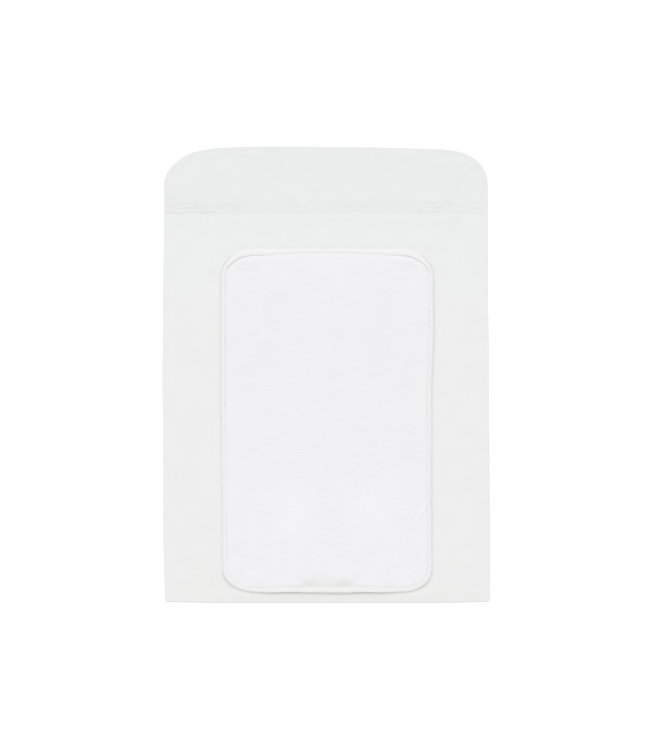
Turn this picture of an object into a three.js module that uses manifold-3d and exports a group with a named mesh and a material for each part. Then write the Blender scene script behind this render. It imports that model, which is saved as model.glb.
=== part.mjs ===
// A thin padded changing pad, 500 x 700 mm, with a stitched-off head section and a
// terry liner held on by four hook-and-loop patches.
// Frame: millimetres, +X right, +Y towards the head, +Z up. The origin is the middle
// of the footprint, on the surface that the pad lies on.
import * as THREE from 'three';
import { mergeVertices } from 'three/addons/utils/BufferGeometryUtils.js';
import Module from 'manifold-3d';

const wasm = await Module();
wasm.setup();

// ---- driving dimensions ----
const CLEAR = 0.3; // air kept between pieces that touch on the real pad
const SINK = 0.1; // how far two joined blocks run into each other
const REACH = 1000; // longer than anything here: the size of a cutting block
const LARGE_ARC_STEPS = 4; // half the facets in a quarter turn
const SMALL_ARC_STEPS = 1;

const PAD_WIDTH = 500;
const PAD_LENGTH = 700;
const PAD_THICKNESS = 10;
const PAD_EDGE_ROUND = 3.2; // rounding of the padded edge
const FOOT_CORNER = 1; // inner radius that the edge rounding swells around
const HEAD_CORNER_WIDTH = 68;
const HEAD_CORNER_DEPTH = 50;
const HEAD_CROWN = 5; // how far the head edge bows out in the middle
const CLOTH = 0.8; // cover cloth
const PERIMETER_SEAM_INSET = 0.1;

const SEAM_Y = 250; // the stitched fold line between body and head section
const SEAM_VALLEY_HALF = 7;
const SEAM_SLOPE = 10;
const SEAM_DEPTH_TOP = 2;
const SEAM_DEPTH_BACK = 1.2;
const SEAM_ROW_OFFSET = 3.5; // each row of stitches from the fold line
const SEAM_END_MARGIN = 4; // rows and elastic stop this far inside the pad's sides
const CORE_END_MARGIN = 12; // the stitching pinches the foam off this far from the fold
const THREAD = 0.6;
const ELASTIC_WIDTH = 8;
const ELASTIC_THICKNESS = 0.8;

const LINER_WIDTH = 320;
const LINER_LENGTH = 526;
const LINER_CORNER = 54;
const LINER_X = 2; // the liner lies a little right of the middle
const LINER_FOOT_MARGIN = 17; // pad showing below the liner
const BINDING_WIDTH = 7;
const BINDING_ROUND = 2;
const BINDING_STITCH_INSET = 5.4; // from the liner's edge to its row of stitches
const TAPE_THICKNESS = 0.8; // binding tape
const TERRY_PILE = 2.2;
const TERRY_ROUND = 0.6;
const PRESSED_TERRY = 0.6; // terry under the binding
const WADDING = 2.1;
const WADDING_ROUND = 0.8;
const BACKING = 0.6;

const PATCH_WIDTH = 40;
const PATCH_DEPTH = 18;
const PATCH_THICKNESS = 0.8;
const PATCH_CORNER = 2;
const PATCH_HEAD_X = 119; // from the liner's centre line, at the head end
const PATCH_FOOT_X = 112; // and at the foot end
const PATCH_HEAD_INSET = 30; // from the liner's head edge to the patch's middle
const PATCH_FOOT_INSET = 30;
const STITCH_INSET = 2; // box stitch inside the patch's edge
const STITCH_CORNER = 1;
const STITCH_RECESS = 1; // how deep the stitching pulls the terry down
const STITCH_RECESS_MARGIN = 2;

const ZIP_Y = -300; // zip across the underside, near the foot
const ZIP_HALF_LENGTH = 185;
const ZIP_TRENCH_HALF = 7;
const ZIP_TRENCH_OVERRUN = 5; // the trench runs on past each end of the coils
const ZIP_TAPE_OVERRUN = 10;
const ZIP_STOP_LENGTH = 2.2;
const ZIP_TAPE_Z = 4.4;
const ZIP_TAPE_THICKNESS = 0.5;
const ZIP_TAPE_HALF = 13;
const COIL_WIDTH = 1.6;
const COIL_HEIGHT = 1.8;
const COIL_HALF_GAP = 0.8; // room for the slider's post between the two coils
const SLIDER_LENGTH = 13;
const SLIDER_HALF_WIDTH = 5;
const SLIDER_PLATE = 0.7;
const SLIDER_CORNER = 2.5;
const SLIDER_REST_X = 172; // closed, at the right-hand end
const SIDE_WALL_HALF_LENGTH = 3.5; // the slider's side walls
const POST_HALF_LENGTH = 1.5; // its post, which parts the coils
const BRIDGE_HALF_LENGTH = 3.5; // the bridge that the puller hangs from
const BRIDGE_HALF_WIDTH = 0.6;
const BRIDGE_BAR = 0.7;
const PULLER_LENGTH = 22;
const PULLER_HALF_WIDTH = 2.6;
const PULLER_CORNER = 0.34;
const PULLER_BAR = 0.7;
const PULLER_WINDOW_LENGTH = 6;
const PULLER_WINDOW_HALF = 1.6;

const LABEL_WIDTH = 36;
const LABEL_DEPTH = 22;
const LABEL_THICKNESS = 0.3;
const LABEL_MARGIN = 4; // from the binding to the label

// ---- heights worked out from them ----
const MID_Z = PAD_THICKNESS / 2;
const RIM_GAP_HALF = THREAD / 2 + CLEAR; // the perimeter seam runs in this gap
const LOOP_Z = PAD_THICKNESS + CLEAR;
const HOOK_Z = LOOP_Z + PATCH_THICKNESS + CLEAR;
const BACKING_Z = HOOK_Z + PATCH_THICKNESS + CLEAR;
const WADDING_Z = BACKING_Z + BACKING + CLEAR;
const TERRY_Z = WADDING_Z + WADDING + CLEAR;
const TERRY_TOP = TERRY_Z + TERRY_PILE;
const BINDING_Z = PAD_THICKNESS + CLEAR;
const BINDING_TOP = TERRY_Z + PRESSED_TERRY + CLEAR + TAPE_THICKNESS;
const LINER_FOOT_Y = -PAD_LENGTH / 2 + LINER_FOOT_MARGIN;
const LINER_HEAD_Y = LINER_FOOT_Y + LINER_LENGTH;
const LINER_Y = (LINER_FOOT_Y + LINER_HEAD_Y) / 2;
const PATCH_HEAD_Y = LINER_HEAD_Y - PATCH_HEAD_INSET;
const PATCH_FOOT_Y = LINER_FOOT_Y + PATCH_FOOT_INSET;
const COIL_Z = ZIP_TAPE_Z + ZIP_TAPE_THICKNESS / 2 - COIL_HEIGHT / 2;
const SLIDER_LOW_PLATE_Z = COIL_Z - CLEAR - SLIDER_PLATE;
const SLIDER_HIGH_PLATE_Z = COIL_Z + COIL_HEIGHT + CLEAR;
const SLIDER_TOP = SLIDER_HIGH_PLATE_Z + SLIDER_PLATE;
const PULLER_Z = SLIDER_LOW_PLATE_Z - CLEAR - PULLER_BAR / 2;
const BODY_END = SEAM_Y - CLEAR / 2;
const HEAD_START = SEAM_Y + CLEAR / 2;
const SLOT_INSET = TAPE_THICKNESS + CLEAR; // the liner's layers end here, inside the binding
const PATCHES = [
  { name: 'head_left', centre: [LINER_X - PATCH_HEAD_X, PATCH_HEAD_Y] },
  { name: 'head_right', centre: [LINER_X + PATCH_HEAD_X, PATCH_HEAD_Y] },
  { name: 'foot_left', centre: [LINER_X - PATCH_FOOT_X, PATCH_FOOT_Y] },
  { name: 'foot_right', centre: [LINER_X + PATCH_FOOT_X, PATCH_FOOT_Y] },
];

// ---- materials ----
function cloth(color, roughness = 0.95) {
  return new THREE.MeshStandardMaterial({ color, roughness, metalness: 0 });
}
const coverCloth = cloth(0xeeeeee);
const backCloth = cloth(0xe8e8e6);
const terryCloth = cloth(0xf2f2f4, 1);
const tapeCloth = cloth(0xececec, 0.85);
const foamLook = cloth(0xf1efe6, 0.9);
const waddingLook = cloth(0xf6f6f6, 1);
const filmLook = cloth(0xf0f2f4, 0.45);
const threadLook = cloth(0xf4f4f2, 0.7);
const hookLook = cloth(0xededed, 0.6);
const coilLook = cloth(0xe9e9e7, 0.4);
const zipMetal = new THREE.MeshStandardMaterial({
  color: 0xdcdcda,
  roughness: 0.35,
  metalness: 0.1,
});

// ---- solids from three.js geometry ----
function solid(geometry) {
  geometry.deleteAttribute('normal');
  geometry.deleteAttribute('uv');
  const merged = mergeVertices(geometry, 1e-4);
  return new wasm.Manifold(
    new wasm.Mesh({
      numProp: 3,
      vertProperties: new Float32Array(merged.attributes.position.array),
      triVerts: new Uint32Array(merged.index.array),
    }),
  );
}

function block(x0, x1, y0, y1, z0, z1) {
  const box = new THREE.BoxGeometry(x1 - x0, y1 - y0, z1 - z0);
  box.translate((x0 + x1) / 2, (y0 + y1) / 2, (z0 + z1) / 2);
  return solid(box);
}

function plate(shape, z0, z1, round = 0, arcSteps = LARGE_ARC_STEPS) {
  const geometry = new THREE.ExtrudeGeometry(shape, {
    depth: z1 - z0 - 2 * round,
    bevelEnabled: round > 0,
    bevelThickness: round,
    bevelSize: round,
    bevelOffset: -round,
    bevelSegments: 2,
    curveSegments: arcSteps,
  });
  geometry.translate(0, 0, z0 + round);
  return solid(geometry);
}

// A bar along X whose section is the given list of [y, z] corners.
function barAlongX(corners, x0, x1) {
  const shape = new THREE.Shape(corners.map(([y, z]) => new THREE.Vector2(y, z)));
  const geometry = new THREE.ExtrudeGeometry(shape, { depth: x1 - x0, bevelEnabled: false });
  const yzx = new THREE.Matrix4().makeBasis(
    new THREE.Vector3(0, 1, 0),
    new THREE.Vector3(0, 0, 1),
    new THREE.Vector3(1, 0, 0),
  );
  geometry.applyMatrix4(yzx);
  geometry.translate(x0, 0, 0);
  return solid(geometry);
}

function roundedRectangle(width, depth, corner, centreX = 0, centreY = 0) {
  const right = width / 2;
  const top = depth / 2;
  const shape = new THREE.Shape();
  shape.moveTo(centreX - right + corner, centreY - top);
  shape.lineTo(centreX + right - corner, centreY - top);
  shape.absarc(centreX + right - corner, centreY - top + corner, corner, -Math.PI / 2, 0);
  shape.lineTo(centreX + right, centreY + top - corner);
  shape.absarc(centreX + right - corner, centreY + top - corner, corner, 0, Math.PI / 2);
  shape.lineTo(centreX - right + corner, centreY + top);
  shape.absarc(centreX - right + corner, centreY + top - corner, corner, Math.PI / 2, Math.PI);
  shape.lineTo(centreX - right, centreY - top + corner);
  shape.absarc(centreX - right + corner, centreY - top + corner, corner, Math.PI, 1.5 * Math.PI);
  return shape;
}

// The pad's plan: nearly square foot corners, large elliptical head corners and a
// slightly bowed head edge.
function padPlan(inset) {
  const right = PAD_WIDTH / 2 - inset;
  const foot = -PAD_LENGTH / 2 + inset;
  const shoulder = PAD_LENGTH / 2 - HEAD_CROWN - inset;
  const cornerX = HEAD_CORNER_WIDTH - inset;
  const cornerY = HEAD_CORNER_DEPTH - inset;
  const footCorner = Math.max(FOOT_CORNER + PAD_EDGE_ROUND - inset, 0.5);
  const straight = right - cornerX;
  const shape = new THREE.Shape();
  shape.moveTo(-right + footCorner, foot);
  shape.lineTo(right - footCorner, foot);
  shape.absarc(right - footCorner, foot + footCorner, footCorner, -Math.PI / 2, 0);
  shape.lineTo(right, shoulder - cornerY);
  shape.absellipse(straight, shoulder - cornerY, cornerX, cornerY, 0, Math.PI / 2);
  shape.quadraticCurveTo(0, shoulder + 2 * HEAD_CROWN, -straight, shoulder);
  shape.absellipse(-straight, shoulder - cornerY, cornerX, cornerY, Math.PI / 2, Math.PI);
  shape.lineTo(-right, foot + footCorner);
  shape.absarc(-right + footCorner, foot + footCorner, footCorner, Math.PI, 1.5 * Math.PI);
  return shape;
}

// The seam's channel across the pad, in the top and in the back, "inset" deeper.
function seamChannel(inset) {
  const low = SEAM_VALLEY_HALF;
  const high = SEAM_VALLEY_HALF + SEAM_SLOPE;
  const top = PAD_THICKNESS - inset;
  const corners = (floor, mouth, beyond) => [
    [SEAM_Y - low, floor],
    [SEAM_Y + low, floor],
    [SEAM_Y + high, mouth],
    [SEAM_Y + high, beyond],
    [SEAM_Y - high, beyond],
    [SEAM_Y - high, mouth],
  ];
  const above = corners(top - SEAM_DEPTH_TOP, top, top + 5);
  const below = corners(inset + SEAM_DEPTH_BACK, inset, inset - 5).reverse();
  return barAlongX(above, -PAD_WIDTH, PAD_WIDTH).add(barAlongX(below, -PAD_WIDTH, PAD_WIDTH));
}

// Everything inside the pad's outer skin, pulled in by "inset".
function padSolid(inset) {
  const round = Math.max(PAD_EDGE_ROUND - inset, 1);
  const whole = plate(padPlan(inset), inset, PAD_THICKNESS - inset, round);
  return whole.subtract(seamChannel(inset));
}

function slab(y0, y1, z0, z1) {
  return block(-REACH, REACH, y0, y1, z0, z1);
}

// One cover: a tray of cloth between two Y limits, above or below the perimeter seam.
function coverShell(y0, y1, above) {
  const z0 = above ? MID_Z + RIM_GAP_HALF : -REACH;
  const z1 = above ? REACH : MID_Z - RIM_GAP_HALF;
  const outside = padSolid(0).intersect(slab(y0, y1, z0, z1));
  const inside = padSolid(CLOTH).intersect(slab(y0 + CLOTH, y1 - CLOTH, -REACH, REACH));
  return outside.subtract(inside);
}

function core(y0, y1) {
  return padSolid(CLOTH + CLEAR).intersect(slab(y0, y1, -REACH, REACH));
}

function perimeterSeam(y0, y1) {
  const low = MID_Z - THREAD / 2;
  const high = MID_Z + THREAD / 2;
  const outside = plate(padPlan(PERIMETER_SEAM_INSET), low, high);
  const inside = plate(padPlan(PERIMETER_SEAM_INSET + THREAD), low - 1, high + 1);
  return outside.subtract(inside).intersect(slab(y0, y1, -REACH, REACH));
}

// ---- the pad's body ----
function zipTrench(halfWidth, overrun, z0, z1) {
  const end = ZIP_HALF_LENGTH + overrun;
  return block(-end, end, ZIP_Y - halfWidth, ZIP_Y + halfWidth, z0, z1);
}

function bodyBackCover() {
  const rimTop = ZIP_TAPE_Z - CLEAR;
  const rim = zipTrench(ZIP_TRENCH_HALF + CLOTH, ZIP_TRENCH_OVERRUN + CLOTH, 0, rimTop);
  const slot = zipTrench(ZIP_TRENCH_HALF, ZIP_TRENCH_OVERRUN, -1, rimTop + 1);
  return coverShell(-REACH, BODY_END, false).add(rim).subtract(slot);
}

function bodyFoam() {
  const roof = SLIDER_TOP + CLEAR;
  const room = zipTrench(ZIP_TAPE_HALF + 2, ZIP_TAPE_OVERRUN + 2, -1, roof);
  return core(-REACH, SEAM_Y - CORE_END_MARGIN).subtract(room);
}

function seamElastic() {
  const y1 = BODY_END - CLOTH - CLEAR;
  const z1 = PAD_THICKNESS - SEAM_DEPTH_TOP - CLOTH - CLEAR;
  const end = PAD_WIDTH / 2 - SEAM_END_MARGIN;
  return block(-end, end, y1 - ELASTIC_WIDTH, y1, z1 - ELASTIC_THICKNESS, z1);
}

function seamRow(y) {
  const z0 = PAD_THICKNESS - SEAM_DEPTH_TOP + CLEAR;
  const end = PAD_WIDTH / 2 - SEAM_END_MARGIN;
  return block(-end, end, y - THREAD / 2, y + THREAD / 2, z0, z0 + THREAD);
}

function patch(x, y, z0) {
  const shape = roundedRectangle(PATCH_WIDTH, PATCH_DEPTH, PATCH_CORNER, x, y);
  return plate(shape, z0, z0 + PATCH_THICKNESS, 0, SMALL_ARC_STEPS);
}

// ---- the zip ----
// A bar along the zip, from "near" to "far" of its centre line on one side (-1 or 1).
function zipBar(side, near, far, halfLength, z0, z1) {
  const ys = [ZIP_Y + side * near, ZIP_Y + side * far].sort((a, b) => a - b);
  return block(-halfLength, halfLength, ys[0], ys[1], z0, z1);
}

function zipTape(side) {
  const near = COIL_HALF_GAP + COIL_WIDTH + CLEAR;
  const end = ZIP_HALF_LENGTH + ZIP_TAPE_OVERRUN;
  return zipBar(side, near, ZIP_TAPE_HALF, end, ZIP_TAPE_Z, ZIP_TAPE_Z + ZIP_TAPE_THICKNESS);
}

function zipCoil(side) {
  const far = COIL_HALF_GAP + COIL_WIDTH;
  return zipBar(side, COIL_HALF_GAP, far, ZIP_HALF_LENGTH, COIL_Z, COIL_Z + COIL_HEIGHT);
}

function zipStop(end) {
  const half = COIL_HALF_GAP + COIL_WIDTH;
  const centre = end * (ZIP_HALF_LENGTH + CLEAR + ZIP_STOP_LENGTH / 2);
  return block(
    centre - ZIP_STOP_LENGTH / 2, centre + ZIP_STOP_LENGTH / 2,
    ZIP_Y - half, ZIP_Y + half, COIL_Z, COIL_Z + COIL_HEIGHT,
  );
}

// A block centred on the slider, given its half length and its Y limits from the zip line.
function sliderBlock(halfLength, y0, y1, z0, z1) {
  return block(
    SLIDER_REST_X - halfLength, SLIDER_REST_X + halfLength, ZIP_Y + y0, ZIP_Y + y1, z0, z1,
  );
}

function zipSlider() {
  const half = SLIDER_HALF_WIDTH;
  const wing = roundedRectangle(SLIDER_LENGTH, 2 * half, SLIDER_CORNER, SLIDER_REST_X, ZIP_Y);
  const lowTop = SLIDER_LOW_PLATE_Z + SLIDER_PLATE;
  const tapeTop = ZIP_TAPE_Z + ZIP_TAPE_THICKNESS;
  const postHalf = COIL_HALF_GAP - CLEAR;
  let slider = plate(wing, SLIDER_LOW_PLATE_Z, lowTop, 0, SMALL_ARC_STEPS)
    .add(plate(wing, SLIDER_HIGH_PLATE_Z, SLIDER_TOP, 0, SMALL_ARC_STEPS))
    .add(sliderBlock(POST_HALF_LENGTH, -postHalf, postHalf, lowTop - SINK, SLIDER_HIGH_PLATE_Z + SINK));
  for (const y0 of [-half, half - SLIDER_PLATE]) {
    const y1 = y0 + SLIDER_PLATE;
    slider = slider
      .add(sliderBlock(SIDE_WALL_HALF_LENGTH, y0, y1, lowTop - SINK, ZIP_TAPE_Z - CLEAR))
      .add(sliderBlock(SIDE_WALL_HALF_LENGTH, y0, y1, tapeTop + CLEAR, SLIDER_HIGH_PLATE_Z + SINK));
  }
  const wide = BRIDGE_HALF_WIDTH;
  const bridgeLow = PULLER_Z - PULLER_BAR / 2 - CLEAR - BRIDGE_BAR;
  const bridge = sliderBlock(BRIDGE_HALF_LENGTH, -wide, wide, bridgeLow, SLIDER_LOW_PLATE_Z + SINK);
  const eye = sliderBlock(
    BRIDGE_HALF_LENGTH - BRIDGE_BAR, -2 * wide, 2 * wide, bridgeLow + BRIDGE_BAR, SLIDER_LOW_PLATE_Z,
  );
  return slider.add(bridge.subtract(eye));
}

function zipPuller() {
  const z0 = PULLER_Z - PULLER_BAR / 2;
  const z1 = PULLER_Z + PULLER_BAR / 2;
  const near = SLIDER_REST_X + PULLER_BAR / 2;
  const far = SLIDER_REST_X - PULLER_LENGTH;
  const tab = roundedRectangle(
    near - far, 2 * PULLER_HALF_WIDTH, PULLER_CORNER, (near + far) / 2, ZIP_Y,
  );
  const window = block(
    SLIDER_REST_X - PULLER_WINDOW_LENGTH, SLIDER_REST_X - PULLER_BAR / 2,
    ZIP_Y - PULLER_WINDOW_HALF, ZIP_Y + PULLER_WINDOW_HALF, z0 - 1, z1 + 1,
  );
  return plate(tab, z0, z1, 0, SMALL_ARC_STEPS).subtract(window);
}

// ---- the liner ----
function linerPlan(inset) {
  return roundedRectangle(
    LINER_WIDTH - 2 * inset, LINER_LENGTH - 2 * inset, LINER_CORNER - inset, LINER_X, LINER_Y,
  );
}

function linerBinding() {
  const slotLow = BINDING_Z + TAPE_THICKNESS;
  const slotHigh = BINDING_TOP - TAPE_THICKNESS;
  const slotRound = BINDING_ROUND - TAPE_THICKNESS;
  return plate(linerPlan(0), BINDING_Z, BINDING_TOP, BINDING_ROUND)
    .subtract(plate(linerPlan(BINDING_WIDTH), 0, REACH))
    .subtract(plate(linerPlan(TAPE_THICKNESS), slotLow, slotHigh, slotRound));
}

function terryFace() {
  const pile = plate(linerPlan(BINDING_WIDTH + CLEAR), TERRY_Z, TERRY_TOP, TERRY_ROUND);
  const pressedEdge = plate(linerPlan(SLOT_INSET + 1), TERRY_Z, TERRY_Z + PRESSED_TERRY);
  let face = pile.add(pressedEdge);
  for (const { centre: [x, y] } of PATCHES) {
    const halfX = PATCH_WIDTH / 2 + STITCH_RECESS_MARGIN;
    const halfY = PATCH_DEPTH / 2 + STITCH_RECESS_MARGIN;
    face = face.subtract(block(
      x - halfX, x + halfX, y - halfY, y + halfY, TERRY_TOP - STITCH_RECESS, REACH,
    ));
  }
  return face;
}

function linerSheet(z0, thickness, round = 0) {
  return plate(linerPlan(SLOT_INSET), z0, z0 + thickness, round);
}

function bindingThread() {
  const z0 = BINDING_TOP + CLEAR;
  return plate(linerPlan(BINDING_STITCH_INSET), z0, z0 + THREAD)
    .subtract(plate(linerPlan(BINDING_STITCH_INSET + THREAD), z0 - 1, z0 + 1));
}

function boxStitch(x, y) {
  const z0 = TERRY_TOP - STITCH_RECESS + CLEAR;
  const frame = (inset, low, high) => plate(roundedRectangle(
    PATCH_WIDTH - 2 * inset, PATCH_DEPTH - 2 * inset, STITCH_CORNER, x, y,
  ), low, high, 0, SMALL_ARC_STEPS);
  return frame(STITCH_INSET, z0, z0 + THREAD)
    .subtract(frame(STITCH_INSET + THREAD, z0 - 1, z0 + 1));
}

function linerLabel() {
  const z1 = BACKING_Z - CLEAR;
  const y0 = LINER_FOOT_Y + BINDING_WIDTH + LABEL_MARGIN;
  const half = LABEL_WIDTH / 2;
  return block(LINER_X - half, LINER_X + half, y0, y0 + LABEL_DEPTH, z1 - LABEL_THICKNESS, z1);
}

// ---- scene graph ----
function named(name, manifold, material) {
  const mesh = manifold.getMesh();
  const geometry = new THREE.BufferGeometry();
  geometry.setAttribute('position', new THREE.BufferAttribute(mesh.vertProperties, 3));
  geometry.setIndex(new THREE.BufferAttribute(mesh.triVerts, 1));
  geometry.computeVertexNormals();
  const result = new THREE.Mesh(geometry, material);
  result.name = name;
  return result;
}

const pad = new THREE.Group();
pad.add(
  named('body_top_cover', coverShell(-REACH, BODY_END, true), coverCloth),
  named('body_back_cover', bodyBackCover(), backCloth),
  named('body_foam_core', bodyFoam(), foamLook),
  named('body_perimeter_seam', perimeterSeam(-REACH, BODY_END), threadLook),
  named('seam_elastic', seamElastic(), tapeCloth),
  named('seam_thread_lower', seamRow(SEAM_Y - SEAM_ROW_OFFSET), threadLook),
);

const head = new THREE.Group();
head.add(
  named('head_top_cover', coverShell(HEAD_START, REACH, true), coverCloth),
  named('head_back_cover', coverShell(HEAD_START, REACH, false), backCloth),
  named('head_foam_core', core(SEAM_Y + CORE_END_MARGIN, REACH), foamLook),
  named('head_perimeter_seam', perimeterSeam(HEAD_START, REACH), threadLook),
  named('seam_thread_upper', seamRow(SEAM_Y + SEAM_ROW_OFFSET), threadLook),
);

const zip = new THREE.Group();
zip.add(
  named('zip_tape_foot_side', zipTape(-1), tapeCloth),
  named('zip_tape_head_side', zipTape(1), tapeCloth),
  named('zip_coil_foot_side', zipCoil(-1), coilLook),
  named('zip_coil_head_side', zipCoil(1), coilLook),
  named('zip_stop_left', zipStop(-1), zipMetal),
  named('zip_stop_right', zipStop(1), zipMetal),
  named('zip_slider', zipSlider(), zipMetal),
  named('zip_puller', zipPuller(), zipMetal),
);

const liner = new THREE.Group();
liner.add(
  named('terry_face', terryFace(), terryCloth),
  named('liner_wadding', linerSheet(WADDING_Z, WADDING, WADDING_ROUND), waddingLook),
  named('waterproof_backing', linerSheet(BACKING_Z, BACKING), filmLook),
  named('liner_binding', linerBinding(), tapeCloth),
  named('binding_thread', bindingThread(), threadLook),
  named('care_label', linerLabel(), tapeCloth),
);
for (const place of PATCHES) {
  const [x, y] = place.centre;
  pad.add(named(`loop_patch_${place.name}`, patch(x, y, LOOP_Z), hookLook));
  liner.add(
    named(`hook_patch_${place.name}`, patch(x, y, HOOK_Z), hookLook),
    named(`box_stitch_${place.name}`, boxStitch(x, y), threadLook),
  );
}

const changingPad = new THREE.Group();
changingPad.add(pad, head, zip, liner);

export default changingPad;
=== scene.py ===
"""Looks for the padded changing pad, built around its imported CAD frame.

Helper sizes are in millimetres and meshes are written in metres. +X is right, +Y is
towards the head section and +Z is up.
"""
import math

import bpy
import mathutils
import numpy as np
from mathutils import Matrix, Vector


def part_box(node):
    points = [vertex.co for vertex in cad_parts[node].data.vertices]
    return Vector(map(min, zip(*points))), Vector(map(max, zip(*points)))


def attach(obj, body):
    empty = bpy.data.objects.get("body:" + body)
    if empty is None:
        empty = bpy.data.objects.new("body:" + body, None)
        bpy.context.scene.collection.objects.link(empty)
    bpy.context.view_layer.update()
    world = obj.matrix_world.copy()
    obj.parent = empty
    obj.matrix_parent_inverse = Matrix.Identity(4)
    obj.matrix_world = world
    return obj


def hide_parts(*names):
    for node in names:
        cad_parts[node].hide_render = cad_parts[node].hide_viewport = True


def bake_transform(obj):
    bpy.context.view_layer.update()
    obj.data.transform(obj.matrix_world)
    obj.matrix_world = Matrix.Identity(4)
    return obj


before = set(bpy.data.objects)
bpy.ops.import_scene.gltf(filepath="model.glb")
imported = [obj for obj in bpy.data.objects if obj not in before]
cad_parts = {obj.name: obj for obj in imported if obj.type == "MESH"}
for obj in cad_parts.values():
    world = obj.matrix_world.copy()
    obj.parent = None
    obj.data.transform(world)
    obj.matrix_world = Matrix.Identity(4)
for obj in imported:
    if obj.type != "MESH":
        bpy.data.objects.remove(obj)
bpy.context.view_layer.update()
MM = 0.001
rng = np.random.default_rng(11)


# ---------------------------------------------------------------- sizes from the frame
def box_mm(node):
    low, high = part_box(node)
    return np.array(low) / MM, np.array(high) / MM


BODY_LOW, BODY_HIGH = box_mm("body_top_cover")
HEAD_LOW, HEAD_HIGH = box_mm("head_top_cover")
LINER_LOW, LINER_HIGH = box_mm("liner_binding")
ZIP_TAPE_LOW, _ = box_mm("zip_tape_head_side")

HALF_WIDTH = BODY_HIGH[0]
FOOT_Y = BODY_LOW[1]
HEAD_Y = HEAD_HIGH[1]
SEAM_Y = (BODY_HIGH[1] + HEAD_LOW[1]) / 2
PAD_TOP = BODY_HIGH[2]
MID_Z = PAD_TOP / 2
LINER_CENTRE = (LINER_LOW + LINER_HIGH) / 2
LINER_HALF_X = (LINER_HIGH[0] - LINER_LOW[0]) / 2
LINER_HALF_Y = (LINER_HIGH[1] - LINER_LOW[1]) / 2

# ---------------------------------------------------------------- sizes of the soft shapes
CLOTH = 0.7  # thickness of the cover cloth
EDGE_ROUND = 2.4  # width of the padded edge's rounding
CORNER_START_X = 165.0  # where the head corners begin
CORNER_START_Y = 285.0
HEAD_CORNER_POWER = {-1: 2.13, 1: 2.65}  # the right corner is packed a little fuller
FOOT_CORNER = 5.0  # radius of the two foot corners
ROW_OFFSET = 3.5  # each stitched row from the fold line
COLUMN_STEP = 1.65  # between the top covers' grid lines
FOAM_MARGIN = 1.3  # from the outside of the covers to the foam
FOAM_TOP_GAP = 0.9  # the gathered top cover stands this much further off it
FOAM_STOP = 12  # the seam pinches the foam off this far from the fold line
FOAM_OVER_ZIP = 7.0  # the foam's underside where it passes over the zip
ZIP_RELIEF = 12  # that hollow in the foam goes this far past the zip's slot
ZIP_SLOT_HALF = 6.4
ZIP_SLOT_OVERRUN = 2.5  # the slot runs on past the zip's end stops
FILM_LEVEL = 10.75
LABEL_LEVEL = 10.45
WADDING_LEVEL = 13.0
TERRY_BACK_LEVEL = 13.6
TERRY_LEVEL = 15.6
LABEL_HALF = 0.12  # half thicknesses of the label and of the woven strips
STRIP_HALF = 0.22
TAPE_SHOWN = 15.4  # width of the folded binding tape's two faces together
TAPE_FACE_LEVEL = 9.75  # height of the lowest part of its outer face
PATCH_HALF = (20.0, 9.0)
BOX_STITCH_HALF = (18, 7.2)
PRESSED_HALF = (17, 6.5)  # of each patch, where the pile is pressed


# ---------------------------------------------------------------- small numeric helpers
NOISE_CELLS = 257
NOISE_ORIGIN = (61.0, 73.0)  # where the part's origin lies in the lattice of random values


def smoothstep(t):
    t = np.clip(t, 0, 1)
    return t * t * (3 - 2 * t)


def bell(t):
    return np.exp(-t * t)


def between_four(at, i, j, fu, fv):
    """Blends the four values round a place in a lattice, where at(i, j) looks one up."""
    low = at(i, j) * (1 - fu) + at(i + 1, j) * fu
    high = at(i, j + 1) * (1 - fu) + at(i + 1, j + 1) * fu
    return low * (1 - fv) + high * fv


def value_noise(x, y, size, seed):
    """Smooth random field between -1 and 1, with lumps about "size" across."""
    lattice = np.random.default_rng(seed).uniform(-1, 1, (NOISE_CELLS, NOISE_CELLS))
    u = x / size + NOISE_ORIGIN[0]
    v = y / size + NOISE_ORIGIN[1]
    i = np.floor(u).astype(int)
    j = np.floor(v).astype(int)

    def at(a, b):
        return lattice[a % NOISE_CELLS, b % NOISE_CELLS]

    return between_four(at, i, j, smoothstep(u - i), smoothstep(v - j))


def fold(x, y, start, end, width):
    """A soft ridge of height 1 along the line from start to end, fading at both ends."""
    ax, ay = start
    bx, by = end
    length = math.hypot(bx - ax, by - ay)
    ux, uy = (bx - ax) / length, (by - ay) / length
    along = ((x - ax) * ux + (y - ay) * uy) / length
    across = (x - ax) * uy - (y - ay) * ux
    fade = smoothstep(along / 0.3 + 0.5) * smoothstep((1 - along) / 0.3 + 0.5)
    return bell(across / width) * fade


def with_folds(surface, x, y, folds):
    """The surface with folds on it, each a start, an end, a width and a height."""
    for start, end, width, height in folds:
        surface = surface + height * fold(x, y, start, end, width)
    return surface


def over_rounding(rounding, count):
    """Distances in from a rounded edge that are evenly spaced round its arc."""
    return rounding * (1 - np.cos(np.linspace(0, np.pi / 2, count, endpoint=False)))


def edge_spaced(low, high, step, rounding, fine=7):
    """Grid lines from low to high that crowd together over the rounded edge."""
    near = over_rounding(rounding, fine)
    count = max(2, round((high - low - 2 * rounding) / step))
    middle = np.linspace(low + rounding, high - rounding, count + 1)
    return np.concatenate([low + near, middle, (high - near)[::-1]])


def rows_between(low, high, step):
    return np.linspace(low, high, max(2, round((high - low) / step)) + 1)


def unit(vectors):
    """Vectors scaled to length 1."""
    return vectors / np.maximum(np.linalg.norm(vectors, axis=-1, keepdims=True), 1e-9)


def lengths_along(path):
    """How far along the path each of its points is."""
    steps = np.linalg.norm(np.diff(path, axis=0), axis=1)
    return np.concatenate([[0], np.cumsum(steps)])


# ---------------------------------------------------------------- mesh helpers
def link(name, data):
    obj = bpy.data.objects.new(name, data)
    bpy.context.scene.collection.objects.link(obj)
    return obj


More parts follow.
